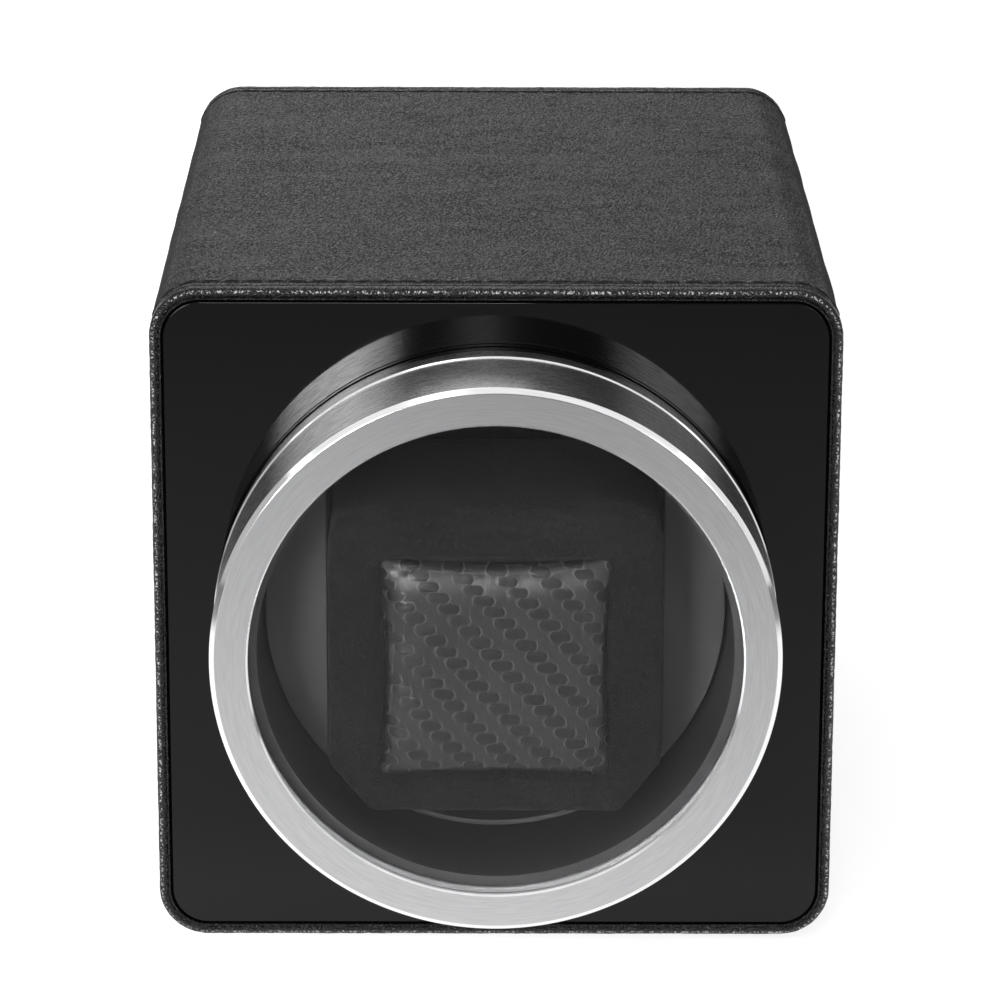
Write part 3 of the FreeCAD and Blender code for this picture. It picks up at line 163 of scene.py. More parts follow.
def stretched(tree, vector, scale):
    """Coordinates scaled differently along each axis."""
    return add(tree, "ShaderNodeMapping", {"Vector": vector, "Scale": scale}).outputs[0]


def coordinates(tree):
    """The piece's own coordinates."""
    return add(tree, "ShaderNodeTexCoord").outputs["Object"]


def new_effect(name, inputs, outputs):
    """A shader node group with named value inputs and outputs, besides a Vector input."""
    group = bpy.data.node_groups.new(name, "ShaderNodeTree")
    group.interface.new_socket("Vector", in_out="INPUT", socket_type="NodeSocketVector")
    for label in inputs:
        group.interface.new_socket(label, in_out="INPUT", socket_type="NodeSocketFloat")
    for label in outputs:
        group.interface.new_socket(label, in_out="OUTPUT", socket_type="NodeSocketFloat")
    return group, group.nodes.new("NodeGroupInput").outputs, group.nodes.new("NodeGroupOutput").inputs


def effect(tree, group, **inputs):
    """Place a shader node group on the piece's own coordinates."""
    values = {"Vector": coordinates(tree), **inputs}
    return add(tree, "ShaderNodeGroup", values, node_tree=group).outputs


def make_leather_grain():
    """Pebbled grain with soft creases that run across the case, and wrinkles where it bends."""
    group, given, out = new_effect("leather_grain", ("Grain", "Bend"), ("Height", "Crease", "Wrinkle"))
    wander = 0.9 * MM
    wobble = add(group, "ShaderNodeTexNoise", {"Vector": given["Vector"], "Scale": 500.0}).outputs[1]
    drift = add(group, "ShaderNodeVectorMath", {0: wobble, 3: wander}, operation="SCALE").outputs[0]
    place = add(group, "ShaderNodeVectorMath", {0: given["Vector"], 1: drift}).outputs[0]
    cells = add(group, "ShaderNodeTexVoronoi",
                {"Vector": stretched(group, place, (1.0, 0.55, 1.0)), "Scale": given["Grain"]},
                feature="DISTANCE_TO_EDGE").outputs["Distance"]
    pebbles = add(group, "ShaderNodeMapRange", {0: cells, 1: 0.0, 2: 0.4},
                  interpolation_type="SMOOTHSTEP").outputs[0]
    fine = noise_of(group, stretched(group, place, (1.8, 0.75, 1.8)), given["Grain"], 2.0, 0.6, 0.4)
    crease = noise_of(group, stretched(group, given["Vector"], (42.0, 95.0, 42.0)), 1.0, 4.0, 0.6, 0.9)
    slant = {"Vector": given["Vector"], "Rotation": (0.5, 0.0, 0.0)}
    slanted = add(group, "ShaderNodeMapping", slant).outputs[0]
    folds = noise_of(group, stretched(group, slanted, (90.0, 520.0, 90.0)), 1.0, 2.0, 0.5, 0.8)
    height = math_of(group, "MULTIPLY_ADD", pebbles, 0.3, ranged(group, fine, 0.32, 0.68, 0.0, 0.7))
    group.links.new(height, out["Height"])
    group.links.new(ranged(group, crease, 0.3, 0.7), out["Crease"])
    group.links.new(math_of(group, "MULTIPLY", folds, given["Bend"]), out["Wrinkle"])
    return group


def make_turned_lines():
    """Fine lines round the window's axis, broken into short streaks."""
    group, given, out = new_effect("turned_lines", ("Lines", "Streaks"), ("Streak",))
    split = add(group, "ShaderNodeSeparateXYZ", {0: given["Vector"]}).outputs
    rise = math_of(group, "SUBTRACT", split["Z"], axis_z)
    across = add(group, "ShaderNodeCombineXYZ", {0: split["X"], 1: rise}).outputs[0]
    radius = add(group, "ShaderNodeVectorMath", {0: across}, operation="LENGTH").outputs["Value"]
    heading = add(group, "ShaderNodeVectorMath", {0: across}, operation="NORMALIZE").outputs[0]
    turn = add(group, "ShaderNodeVectorMath", {0: heading, 3: given["Streaks"]},
               operation="SCALE").outputs[0]
    line = math_of(group, "MULTIPLY", math_of(group, "ADD", split["Y"], radius), given["Lines"])
    depth = add(group, "ShaderNodeCombineXYZ", {2: line}).outputs[0]
    place = add(group, "ShaderNodeVectorMath", {0: turn, 1: depth}).outputs[0]
    streak = noise_of(group, place, 1.0, 2.0, 0.6)
    group.links.new(ranged(group, streak, 0.34, 0.66), out["Streak"])
    return group


def make_speckle():
    """An even grain for moulded, cast, felted and napped surfaces."""
    group, given, out = new_effect("speckle", ("Grains",), ("Grain", "Patch"))
    grain = noise_of(group, given["Vector"], given["Grains"], 3.0, 0.65)
    patch_share = 0.045
    patches = math_of(group, "MULTIPLY", given["Grains"], patch_share)
    patch = noise_of(group, given["Vector"], patches, 2.0)
    group.links.new(ranged(group, grain, 0.25, 0.75), out["Grain"])
    group.links.new(patch, out["Patch"])
    return group


leather_grain = make_leather_grain()
turned_lines = make_turned_lines()
speckle = make_speckle()


# Finishes


def new_finish(name):
    """A material with its tree and its one shader."""
    material = bpy.data.materials.new(name)
    material.use_nodes = True
    tree = material.node_tree
    return material, tree, tree.nodes["Principled BSDF"]


def feed(tree, shader, **inputs):
    """Set or link the shader's inputs."""
    for name, value in inputs.items():
        give(tree, shader.inputs[name.replace("_", " ")], value)


def bump(tree, height, depth):
    """A normal from a height of this many metres."""
    inputs = {"Height": height, "Distance": depth, "Strength": 1.0}
    return add(tree, "ShaderNodeBump", inputs).outputs[0]


def leather(name, grain, depth, roughness, low, high):
    """Grained leather that wrinkles where its mesh says it bends, with painted shade in its marked
    hollows and wrinkles and painted glints where its mesh marks a crest.
    """
    material, tree, shader = new_finish(name)
    bend, turned, hollow, painted_glint = (add(tree, "ShaderNodeAttribute", attribute_name=label).outputs["Fac"]
                                  for label in ("bend", "turned", "hollow", "painted_glint"))
    out = effect(tree, leather_grain, Grain=grain, Bend=bend)
    fold_lift, fold_shade, crease_share, crease_gloss = 2.5, 0.3, 0.25, 0.14
    # Painted glints: a light grey that stands in for lamp glints on the grain tops of a marked crest.
    painted_glint_grey = (0.7, 0.7, 0.7)
    lift = math_of(tree, "MULTIPLY_ADD", out["Wrinkle"], fold_lift, out["Height"])
    # The colour follows the grain's height, darker in its valleys: partly the leather's own tone and
    # partly painted shade.
    pebbles = math_of(tree, "MULTIPLY", ranged(tree, out["Height"], 0.3, 0.8), 1.0 - crease_share)
    tone = math_of(tree, "MULTIPLY_ADD", out["Crease"], crease_share, pebbles)
    # Painted glint mask: the grain tops where the mesh marks a crest.
    glint_share = math_of(tree, "MULTIPLY", ranged(tree, out["Height"], 0.5, 0.65), painted_glint)
    # Painted shade: the colour goes darker in the marked hollows and in the deepest wrinkles, where
    # shade falls.
    painted_shade = math_of(tree, "MAXIMUM", hollow, ranged(tree, out["Wrinkle"], 0.45, 0.62, 0.0, fold_shade))
    shaded_tone = math_of(tree, "MULTIPLY", tone, math_of(tree, "SUBTRACT", 1.0, painted_shade))
    plain = blend_colour(tree, shaded_tone, low, high)
    rough = ranged(tree, out["Height"], 0.15, 0.85, *roughness)
    rough = math_of(tree, "MULTIPLY_ADD", out["Crease"], -crease_gloss, rough)
    feed(tree, shader, Base_Color=blend_colour(tree, glint_share, plain, painted_glint_grey), IOR=1.45,
         Normal=bump(tree, lift, depth),
         Roughness=math_of(tree, "MAXIMUM", rough, math_of(tree, "MAXIMUM", hollow, turned)))
    return material


def gloss_panel():
    """Polished black sheet with the faintest ripple and dust."""
    material, tree, shader = new_finish("polished_black")
    out = effect(tree, speckle, Grains=2600.0)
    dust = ranged(tree, out["Grain"], 0.93, 1.0)
    clean, dusty = (0.0012, 0.0012, 0.0013), (0.02, 0.02, 0.02)
    feed(tree, shader, Base_Color=blend_colour(tree, dust, clean, dusty),
         Roughness=ranged(tree, out["Patch"], 0.3, 0.7, 0.02, 0.05), IOR=1.35)
    return material


def turned_metal(name, colour, roughness, spread, lines, streaks, depth, even=0.9):
    """Metal finished on a lathe, its lines round the window's axis."""
    material, tree, shader = new_finish(name)
    out = effect(tree, turned_lines, Lines=lines, Streaks=streaks)
    dark = tuple(value * even for value in colour)
    around = add(tree, "ShaderNodeTangent", direction_type="UV_MAP", uv_map="turn").outputs[0]
    feed(tree, shader, Base_Color=blend_colour(tree, out["Streak"], dark, colour), Metallic=1.0,
         Roughness=ranged(tree, out["Streak"], 0.0, 1.0, roughness * 1.15, roughness * 0.88),
         Anisotropic=spread, Anisotropic_Rotation=0.25, Tangent=around,
         Normal=bump(tree, out["Streak"], depth))
    return material


def plain_metal(name, colour, roughness, scale):
    """Metal with fine drawn or rolled lines along the case."""
    material, tree, shader = new_finish(name)
    place = stretched(tree, coordinates(tree), (scale, scale * 0.06, scale))
    line = noise_of(tree, place, 1.0, 3.0)
    dark = tuple(value * 0.8 for value in colour)
    feed(tree, shader, Base_Color=blend_colour(tree, line, dark, colour), Metallic=1.0,
         Roughness=ranged(tree, line, 0.3, 0.7, roughness * 1.2, roughness * 0.85),
         Normal=bump(tree, line, 0.004 * MM))
    return material


def moulded(name, colour, roughness, grains, depth):
    """Plastic or board with an even fine texture."""
    material, tree, shader = new_finish(name)
    out = effect(tree, speckle, Grains=grains)
    dark = tuple(value * 0.7 for value in colour)
    feed(tree, shader, Base_Color=blend_colour(tree, out["Grain"], dark, colour),
         Roughness=ranged(tree, out["Patch"], 0.3, 0.7, roughness * 0.9, roughness * 1.1),
         Normal=bump(tree, out["Grain"], depth))
    return material


def napped(name, low, high, grains, depth, sheen):
    """Velvet or felt: a speckled pile with a soft sheen."""
    material, tree, shader = new_finish(name)
    out = effect(tree, speckle, Grains=grains)
    grain = math_of(tree, "MULTIPLY", out["Grain"], 0.7)
    tone = math_of(tree, "MULTIPLY_ADD", out["Patch"], 0.4, grain)
    feed(tree, shader, Base_Color=blend_colour(tree, tone, low, high), Roughness=1.0, IOR=1.1,
         Sheen_Weight=sheen, Sheen_Roughness=0.5, Normal=bump(tree, out["Grain"], depth))
    return material


def window_clear():
    """Coated glass that lets the lamps through to the drum."""
    material, tree, shader = new_finish("window_clear")
    feed(tree, shader, Base_Color=(0.97, 0.97, 0.97, 1.0), Roughness=0.0, IOR=1.22,
         Transmission_Weight=1.0)
    path = add(tree, "ShaderNodeLightPath").outputs["Is Shadow Ray"]
    clear = add(tree, "ShaderNodeBsdfTransparent", {"Color": (0.94, 0.94, 0.94, 1.0)}).outputs[0]
    mixed = add(tree, "ShaderNodeMixShader", {0: path, 1: shader.outputs[0], 2: clear}).outputs[0]
    tree.links.new(mixed, tree.nodes["Material Output"].inputs["Surface"])
    return material


def twill_pad():
    """Pressed weave: dark crossing floats with painted highlight round their edges, in steps over
    brighter upright threads.
    """
    material, tree, shader = new_finish("twill_pad")
    weave = add(tree, "ShaderNodeUVMap", uv_map="weave").outputs[0]
    split = add(tree, "ShaderNodeSeparateXYZ", {0: weave}).outputs
    row = math_of(tree, "FLOOR", split["Y"])
    along = math_of(tree, "SUBTRACT", split["X"], row)
    place = math_of(tree, "FLOORED_MODULO", math_of(tree, "ADD", along, 1.0), float(TWILL_REPEAT))
    from_middle = math_of(tree, "ABSOLUTE", math_of(tree, "SUBTRACT", place, TWILL_REPEAT / 2))
    aside = math_of(tree, "MULTIPLY", from_middle, FLOAT_LENGTH)
    within_row = math_of(tree, "SUBTRACT", math_of(tree, "FRACT", split["Y"]), 0.5)
    upright = math_of(tree, "ABSOLUTE", within_row)
    tapered = math_of(tree, "MULTIPLY_ADD", upright, FLOAT_TAPER, aside)
    sideways = math_of(tree, "POWER", tapered, FLOAT_END)
    upwards = math_of(tree, "POWER", math_of(tree, "MULTIPLY", upright, FLOAT_WIDTH), FLOAT_SIDE)
    outward = math_of(tree, "ADD", sideways, upwards)
    crossing = ranged(tree, outward, 0.95, 1.15, 1.0, 0.0)
    warp = noise_of(tree, stretched(tree, weave, (11.0, 0.5, 1.0)), 1.0, 2.0, 0.6)
    weft = noise_of(tree, stretched(tree, weave, (0.5, 11.0, 1.0)), 1.0, 2.0, 0.6)
    threads = add(tree, "ShaderNodeMix", {0: crossing, 2: warp, 3: weft}).outputs[0]
    bright = blend_colour(tree, warp, (0.007, 0.007, 0.0072), (0.021, 0.021, 0.0215))
    dark = blend_colour(tree, weft, (0.003, 0.003, 0.003), (0.011, 0.011, 0.0112))
    # Painted highlight: a light rim round each crossing float stands in for light caught on its edges.
    painted_float_rims = blend_colour(tree, ranged(tree, outward, 0.6, 0.95), dark, (0.08, 0.08, 0.081))
    feed(tree, shader, Base_Color=blend_colour(tree, crossing, bright, painted_float_rims), IOR=1.4,
         Roughness=ranged(tree, threads, 0.3, 0.7, 0.28, 0.2), Normal=bump(tree, threads, 0.05 * MM))
    return material


def circuit_green():
    """Lacquered board with the pattern of its tracks."""
    material, tree, shader = new_finish("circuit_green")
    bricks = {"Vector": coordinates(tree), "Scale": 90.0}
    tracks = add(tree, "ShaderNodeTexBrick", bricks).outputs["Fac"]
    feed(tree, shader, Base_Color=blend_colour(tree, tracks, (0.01, 0.07, 0.03), (0.02, 0.14, 0.06)),
         Roughness=0.35)
    return material


def make_finishes():
    """One finish for each material slot of the record."""
    return {
        "case_board": moulded("case_board_raw", (0.3, 0.24, 0.18), 0.8, 900.0, 0.05 * MM),
        "black_leather": leather("leather_grained", 1350.0, 0.6 * MM, (0.78, 0.28),
                                 (0.0, 0.0, 0.0), (0.08, 0.08, 0.0805)),
        "felt": napped("felt_black", (0.01, 0.01, 0.01), (0.05, 0.05, 0.05), 1500.0, 0.2 * MM, 0.2),
        "gloss_black": gloss_panel(),
        "satin_black": moulded("satin_moulded", (0.03, 0.03, 0.032), 0.45, 1800.0, 0.02 * MM),
        "brushed_aluminium": turned_metal("aluminium_turned", (0.85, 0.85, 0.86), 0.26, 0.65, 2600.0,
                                          15.0, 0.0023 * MM, 0.68),
        "bright_aluminium": turned_metal("aluminium_bright", (0.86, 0.86, 0.87), 0.85, 0.0, 2500.0,
                                         6.0, 0.002 * MM),
        "clear_glass": window_clear(),
        "seal_rubber": moulded("rubber_black", (0.012, 0.012, 0.012), 0.7, 1600.0, 0.02 * MM),
        "sleeve_black": moulded("sleeve_satin", (0.025, 0.025, 0.026), 0.5, 700.0, 0.01 * MM),
        "cheek_grey": moulded("cheek_satin", (0.033, 0.033, 0.0345), 0.55, 700.0, 0.01 * MM),
        "black_velvet": napped("velvet_black", (0.0, 0.0, 0.0), (0.015, 0.015, 0.0155), 850.0,
                               0.35 * MM, 0.03),
        "carbon_look": twill_pad(),
        "zinc_steel": plain_metal("zinc_plated", (0.55, 0.57, 0.6), 0.32, 1400.0),
        "black_steel": plain_metal("blackened_steel", (0.06, 0.06, 0.065), 0.4, 1400.0),
        "ground_steel": plain_metal("ground_steel", (0.6, 0.6, 0.6), 0.22, 2600.0),
        "magnet_nickel": plain_metal("magnet_nickel", (0.7, 0.69, 0.66), 0.15, 900.0),
        "drive_plastic": moulded("drive_acetal", (0.75, 0.74, 0.7), 0.4, 900.0, 0.01 * MM),
        "plate_aluminium": plain_metal("plate_milled", (0.62, 0.62, 0.63), 0.38, 1100.0),
        "bronze": plain_metal("bearing_bronze", (0.5, 0.32, 0.14), 0.35, 1600.0),
        "motor_steel": plain_metal("motor_steel", (0.5, 0.5, 0.5), 0.28, 1500.0),
        "lead_insulation": moulded("lead_vinyl", (0.25, 0.015, 0.012), 0.45, 1200.0, 0.005 * MM),
        "circuit_board": circuit_green(),
        "nickel": plain_metal("nickel_plated", (0.66, 0.64, 0.6), 0.2, 1500.0),
        "brass_standoff": plain_metal("brass_drawn", (0.72, 0.5, 0.2), 0.3, 1500.0),
        "switch_black": moulded("switch_case", (0.02, 0.02, 0.02), 0.4, 1500.0, 0.01 * MM),
        "knob_black": moulded("knob_moulded", (0.022, 0.022, 0.023), 0.38, 2000.0, 0.015 * MM),
        "pointer_white": moulded("pointer_enamel", (0.8, 0.8, 0.78), 0.4, 1200.0, 0.005 * MM),
    }


finishes = make_finishes()
for part in nodes.values():
    for slot in part.material_slots:
        slot.material = finishes[slot.material.name]
ring_face = turned_metal("ring_face", (0.62, 0.62, 0.63), 0.14, 0.4, 3600.0, 9.0, 0.002 * MM)
ring_chamfer = turned_metal("ring_chamfer", (0.93, 0.93, 0.94), 0.12, 0.3, 2500.0, 6.0, 0.001 * MM)
binding_leather = leather("leather_binding", 1600.0, 0.3 * MM, (0.4, 0.26), (0.001, 0.001, 0.001),
                          (0.014, 0.014, 0.0145))
thread_black = moulded("thread_black", (0.004, 0.004, 0.004), 0.9, 3000.0, 0.03 * MM)


# Meshes


def new_piece(name, mesh, *materials):
    """An object at the origin for a finished mesh."""
    piece = bpy.data.objects.new(name, mesh)
    scene.collection.objects.link(piece)
    for material in materials:
        mesh.materials.append(material)
    return piece


def shade(mesh, sharp_angle):
    """Smooth faces, split at edges sharper than an angle in degrees."""
    for face in mesh.polygons:
        face.use_smooth = True
    mesh.set_sharp_from_angle(angle=math.radians(sharp_angle))


def settle_normals(mesh):
    """Merge doubles and turn every face outwards."""
    work = bmesh.new()
    work.from_mesh(mesh)
    bmesh.ops.remove_doubles(work, verts=work.verts, dist=0.001 * MM)
    bmesh.ops.recalc_face_normals(work, faces=work.faces)
    work.to_mesh(mesh)
    work.free()


def solid_of(piece):
    """The piece's mesh with its modifiers applied; the modifiers are removed."""
    evaluated = piece.evaluated_get(bpy.context.evaluated_depsgraph_get())
    mesh = bpy.data.meshes.new_from_object(evaluated)
    piece.modifiers.clear()
    piece.data = mesh
    return mesh


def dress(piece, body, slot, *replaced):
    """Seat a finished piece on its body, in place of the CAD nodes that it stands for."""
    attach(piece, body)
    if replaced:
        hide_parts(*replaced)


def arc(centre, radius, start, end, count):
    """Points of an arc between two angles in degrees, as pairs."""
    angles = [math.radians(start + (end - start) * index / count) for index in range(count + 1)]
    return [(centre[0] + radius * math.cos(angle), centre[1] + radius * math.sin(angle))
            for angle in angles]


def case_outline(step):
    """Points round the case's section, about a step apart, each with its outward direction."""
    straight = case_half - CORNER_RADIUS
    side_steps = round(2 * straight / step)
    corner_steps = round(CORNER_RADIUS * math.pi / 2 / step)
    outline = []
    for quarter in range(4):
        turn = Matrix.Rotation(quarter * math.pi / 2, 2)
        for index in range(side_steps):
            place = turn @ Vector((case_half, -straight + 2 * straight * index / side_steps))
            outline.append((place, turn @ Vector((1.0, 0.0))))
        for index in range(corner_steps):
            angle = math.pi / 2 * index / corner_steps
            outward = turn @ Vector((math.cos(angle), math.sin(angle)))
            outline.append((turn @ Vector((straight, straight)) + outward * CORNER_RADIUS, outward))
    return outline


def case_inset(spot):
    """How far a point lies inside the case's outer face."""
    flat = case_half - CORNER_RADIUS
    across, up = abs(spot.x), abs(spot.z - axis_z)
    if min(across, up) > flat:
        return CORNER_RADIUS - Vector((across - flat, up - flat)).length
    return case_half - max(across, up)


def wrap_round_case(name, profile, step, lift, material):
    """Sweep a closed loop of (y, inset) points round the case; lift raises a point outwards."""
    outline = case_outline(step)
    points = []
    for place, outward in outline:
        for y, inset in profile:
            across = place - outward * inset
            spot = Vector((across.x, y, axis_z + across.y))
            raised = outward * lift(spot, inset)
            points.append((spot.x + raised.x, y, spot.z + raised.y))
    rows, columns = len(outline), len(profile)
    faces = []
    for row in range(rows):
        following = (row + 1) % rows
        for column in range(columns):
            beside = (column + 1) % columns
            faces.append((row * columns + column, following * columns + column,
                          following * columns + beside, row * columns + beside))
    mesh = bpy.data.meshes.new(name)
    mesh.from_pydata(points, [], faces)
    settle_normals(mesh)
    shade(mesh, 60)
    return new_piece(name, mesh, material)


# Leather skin and bindings


def skin_lift(spot, inset):
    """Soft creases across the leather, lower towards the seams."""
    if inset > LEATHER_THICKNESS / 2:
        return 0.0
    crease_rise, puff_rise, seam_reach = 0.16 * MM, 0.14 * MM, 4 * MM
    creases = noise.noise(Vector((spot.x * 22, spot.y * 75, spot.z * 22)))
    puffs = noise.noise(Vector((spot.x * 40, spot.y * 40, spot.z * 40 + 9)))
    from_seam = min(spot.y - seam_front_y, seam_rear_y - spot.y)
    return (crease_rise * creases + puff_rise * puffs) * min(1.0, from_seam / seam_reach)


def skin_edge(edge, inward):
    """The rolled end of the skin with the channel that the stitches lie in."""
    shape = ((0.0, 0.55), (0.05, 0.3), (0.2, 0.12), (0.42, 0.06), (0.6, 0.1), (0.85, 0.26), (1.1, 0.1),
             (1.35, 0.03), (1.8, 0.0))
    return [(edge + inward * away * MM, inset * MM) for away, inset in shape]


def mark(piece, label, amount):
    """Store a value from 0 to 1 at every point of a piece."""
    layer = piece.data.attributes.new(label, "FLOAT", "POINT")
    for vertex, value in zip(piece.data.vertices, layer.data):
        value.value = min(1.0, max(0.0, amount(vertex.co)))


def make_leather_skin():
    """The leather sleeve round the case, marked where it bends, turns down and dips at its seams."""
    first = skin_edge(seam_front_y, 1.0)
    last = skin_edge(seam_rear_y, -1.0)[::-1]
    start, end = first[-1][0], last[0][0]
    steps = round((end - start) / SKIN_STEP)
    middle = [(start + (end - start) * index / steps, 0.0) for index in range(1, steps)]
    inside = [(seam_rear_y, LEATHER_THICKNESS), (seam_front_y, LEATHER_THICKNESS)]
    skin = wrap_round_case("leather_skin", first + middle + last + inside, SKIN_STEP, skin_lift,
                           finishes["black_leather"])
    flat = case_half - CORNER_RADIUS

    def corner_bend(spot):
        return (min(abs(spot.x), abs(spot.z - axis_z)) - flat) / (0.3 * CORNER_RADIUS)

    def side_turn(spot):
        past_corner = (abs(spot.x) - abs(spot.z - axis_z)) / (3 * MM) + 0.6
        return 0.8 * min(1.0, corner_bend(spot)) * min(1.0, max(0.0, past_corner))

    # Painted shade and rougher leather where the skin turns in at its ends and in its stitch channel.
    def seam_hollow(spot):
        from_seam = min(spot.y - seam_front_y, seam_rear_y - spot.y)
        return max(1.2 - from_seam / (0.2 * MM), 0.5 - abs(from_seam - STITCH_SETBACK) / (0.6 * MM))

    mark(skin, "bend", corner_bend)
    mark(skin, "turned", side_turn)
    mark(skin, "hollow", seam_hollow)
    dress(skin, "case", "black_leather", "leather_wrap")


def binding_profile(edge, inward):
    """Edge binding: an inner bead by the panel, a rolled rim, a pressed crease and the seam edge."""
    bead = arc((0.3, 1.8), 0.17, -90, -270, 4)
    roll = arc((1.05, 1.0), 0.98, -180, -100, 8)
    crease = [(2.35, 0.05), (2.55, 0.12), (2.7, 0.34), (2.85, 0.12), (3.05, 0.04)]
    seam = [(3.7, 0.03), (4.1, 0.08), (4.32, 0.25), (4.45, 0.6)]
    inside = [(4.45, 1.15), (3.4, 1.15), (3.4, 1.97), (0.45, 1.97)]
    rim = [(0.62, 1.62)]
    shape = inside + bead + rim + roll + crease + seam
    return [(edge + inward * along * MM, inset * MM) for along, inset in shape]


def rim_lift(spot, inset):
    """The pebbled grain of the hand-rolled rim, and its slightly uneven line."""
    bead_inset, uneven_rise, pebble_rise = 1.7 * MM, 0.05 * MM, 0.06 * MM
    if inset > bead_inset:
        return 0.0
    uneven = noise.noise(Vector((spot.x * 120, spot.y * 300, spot.z * 120)))
    pebbles = noise.noise(Vector((spot.x * 1100, spot.y * 900, spot.z * 1100)))
    return uneven_rise * uneven + pebble_rise * pebbles


def make_bindings():
    """The edge binding at each end of the case, marked in its hollows for painted shade and on its
    crest for painted glints.
    """
    for name, edge, inward, node, glint_level in (("front_rim", front_edge_y, 1.0, "front_binding", 1.0),
                                           ("rear_rim", rear_edge_y, -1.0, "rear_binding", 0.3)):
        rim = wrap_round_case(name, binding_profile(edge, inward), BINDING_STEP, rim_lift,
                              binding_leather)

        # Painted shade and rougher leather in the pressed crease and at the seam edge.
        def crease_hollow(spot):
            along = (spot.y - edge) * inward
            return max(1 - abs(along - BINDING_CREASE) / (0.3 * MM),
                       (along - BINDING_SEAM) / (0.35 * MM))

        # Painted glints along the rolled rim's crest, fainter on the rear rim.
        def crest_glint(spot):
            on_roll = (spot.y - edge) * inward < BINDING_ROLL
            return on_roll * glint_level * (1.2 - abs(case_inset(spot) - BINDING_CREST) / (0.25 * MM))

        mark(rim, "hollow", crease_hollow)
        mark(rim, "painted_glint", crest_glint)
        dress(rim, "case", "black_leather", node)


def stitch_tree():
    """Geometry nodes that lay stitches along an outline."""
    tree = bpy.data.node_groups.new("seam_stitches", "GeometryNodeTree")
    tree.interface.new_socket("Geometry", in_out="INPUT", socket_type="NodeSocketGeometry")
    for label in ("Pitch", "Length", "Thread"):
        tree.interface.new_socket(label, in_out="INPUT", socket_type="NodeSocketFloat")
    tree.interface.new_socket("Geometry", in_out="OUTPUT", socket_type="NodeSocketGeometry")
    given = tree.nodes.new("NodeGroupInput").outputs
    curve = add(tree, "GeometryNodeMeshToCurve", {0: given["Geometry"]}).outputs[0]
    even = add(tree, "GeometryNodeResampleCurve", {"Curve": curve, "Length": given["Pitch"]},
               mode="LENGTH")
    ball = add(tree, "GeometryNodeMeshUVSphere",
               {"Segments": 8, "Rings": 6, "Radius": 1.0}).outputs["Mesh"]
    half = math_of(tree, "MULTIPLY", given["Length"], 0.5)
    size = add(tree, "ShaderNodeCombineXYZ",
               {0: given["Thread"], 1: given["Thread"], 2: half}).outputs[0]
    stitch = add(tree, "GeometryNodeTransform", {"Geometry": ball, "Scale": size}).outputs[0]
    heading = add(tree, "GeometryNodeInputTangent").outputs[0]
    turn = add(tree, "FunctionNodeAlignRotationToVector", {"Vector": heading}, axis="Z").outputs[0]
    laid = add(tree, "GeometryNodeInstanceOnPoints",
               {"Points": even.outputs[0], "Instance": stitch, "Rotation": turn}).outputs[0]
    real = add(tree, "GeometryNodeRealizeInstances", {0: laid}).outputs[0]
    smooth = add(tree, "GeometryNodeSetShadeSmooth", {0: real}).outputs[0]
    done = add(tree, "GeometryNodeSetMaterial",
               {"Geometry": smooth, "Material": thread_black}).outputs[0]
    tree.links.new(done, tree.nodes.new("NodeGroupOutput").inputs["Geometry"])
    return tree


def make_stitches():
    """A row of stitches in the channel behind each end of the skin."""
    tree = stitch_tree()
    sockets = {item.name: item.identifier for item in tree.interface.items_tree
               if item.in_out == "INPUT"}
    points = []
    edges = []
    for y in (seam_front_y + STITCH_SETBACK, seam_rear_y - STITCH_SETBACK):
        first = len(points)
        for place, outward in case_outline(SKIN_STEP):
            across = place - outward * STITCH_SINK
            points.append((across.x, y, axis_z + across.y))
        count = len(points) - first
        edges += [(first + index, first + (index + 1) % count) for index in range(count)]
    mesh = bpy.data.meshes.new("seam_stitches")
    mesh.from_pydata(points, edges, [])
    stitches = new_piece("seam_stitches", mesh)
    modifier = stitches.modifiers.new("stitching", "NODES")
    modifier.node_group = tree
    for label, size in (("Pitch", STITCH_PITCH), ("Length", STITCH_LENGTH), ("Thread", THREAD_RADIUS)):
        modifier[sockets[label]] = size
    solid_of(stitches)
    dress(stitches, "case", "black_leather")


# Turned rings


def turn_round_axis(name, loop, materials):
    """Turn a closed loop of (radius, y) points, each with the material of the edge that it starts."""
    profile, spans = zip(*loop)
    count = len(profile)
    points = []
    for step in range(RING_SEGMENTS):
        angle = 2 * math.pi * step / RING_SEGMENTS
        across, up = math.cos(angle), math.sin(angle)
        points += [(radius * across, y, axis_z + radius * up) for radius, y in profile]
    faces = []
    places = []
    lengths = [0.0]
    for index in range(count):
        first, second = Vector(profile[index]), Vector(profile[(index + 1) % count])
        lengths.append(lengths[-1] + (second - first).length)
    for step in range(RING_SEGMENTS):
        following = (step + 1) % RING_SEGMENTS
        for index in range(count):
            beside = (index + 1) % count
            faces.append((step * count + index, step * count + beside,
                          following * count + beside, following * count + index))
            low, high = step / RING_SEGMENTS, (step + 1) / RING_SEGMENTS
            places += [(low, lengths[index]), (low, lengths[index + 1]),
                       (high, lengths[index + 1]), (high, lengths[index])]
    mesh = bpy.data.meshes.new(name)
    mesh.from_pydata(points, [], faces)
    layer = mesh.uv_layers.new(name="turn")
    for corner, place in zip(layer.data, places):
        corner.uv = place
    piece = new_piece(name, mesh, *materials)
    for index, face in enumerate(mesh.polygons):
        face.material_index = spans[index % count]
    settle_normals(mesh)
    shade(mesh, 25)
    return piece


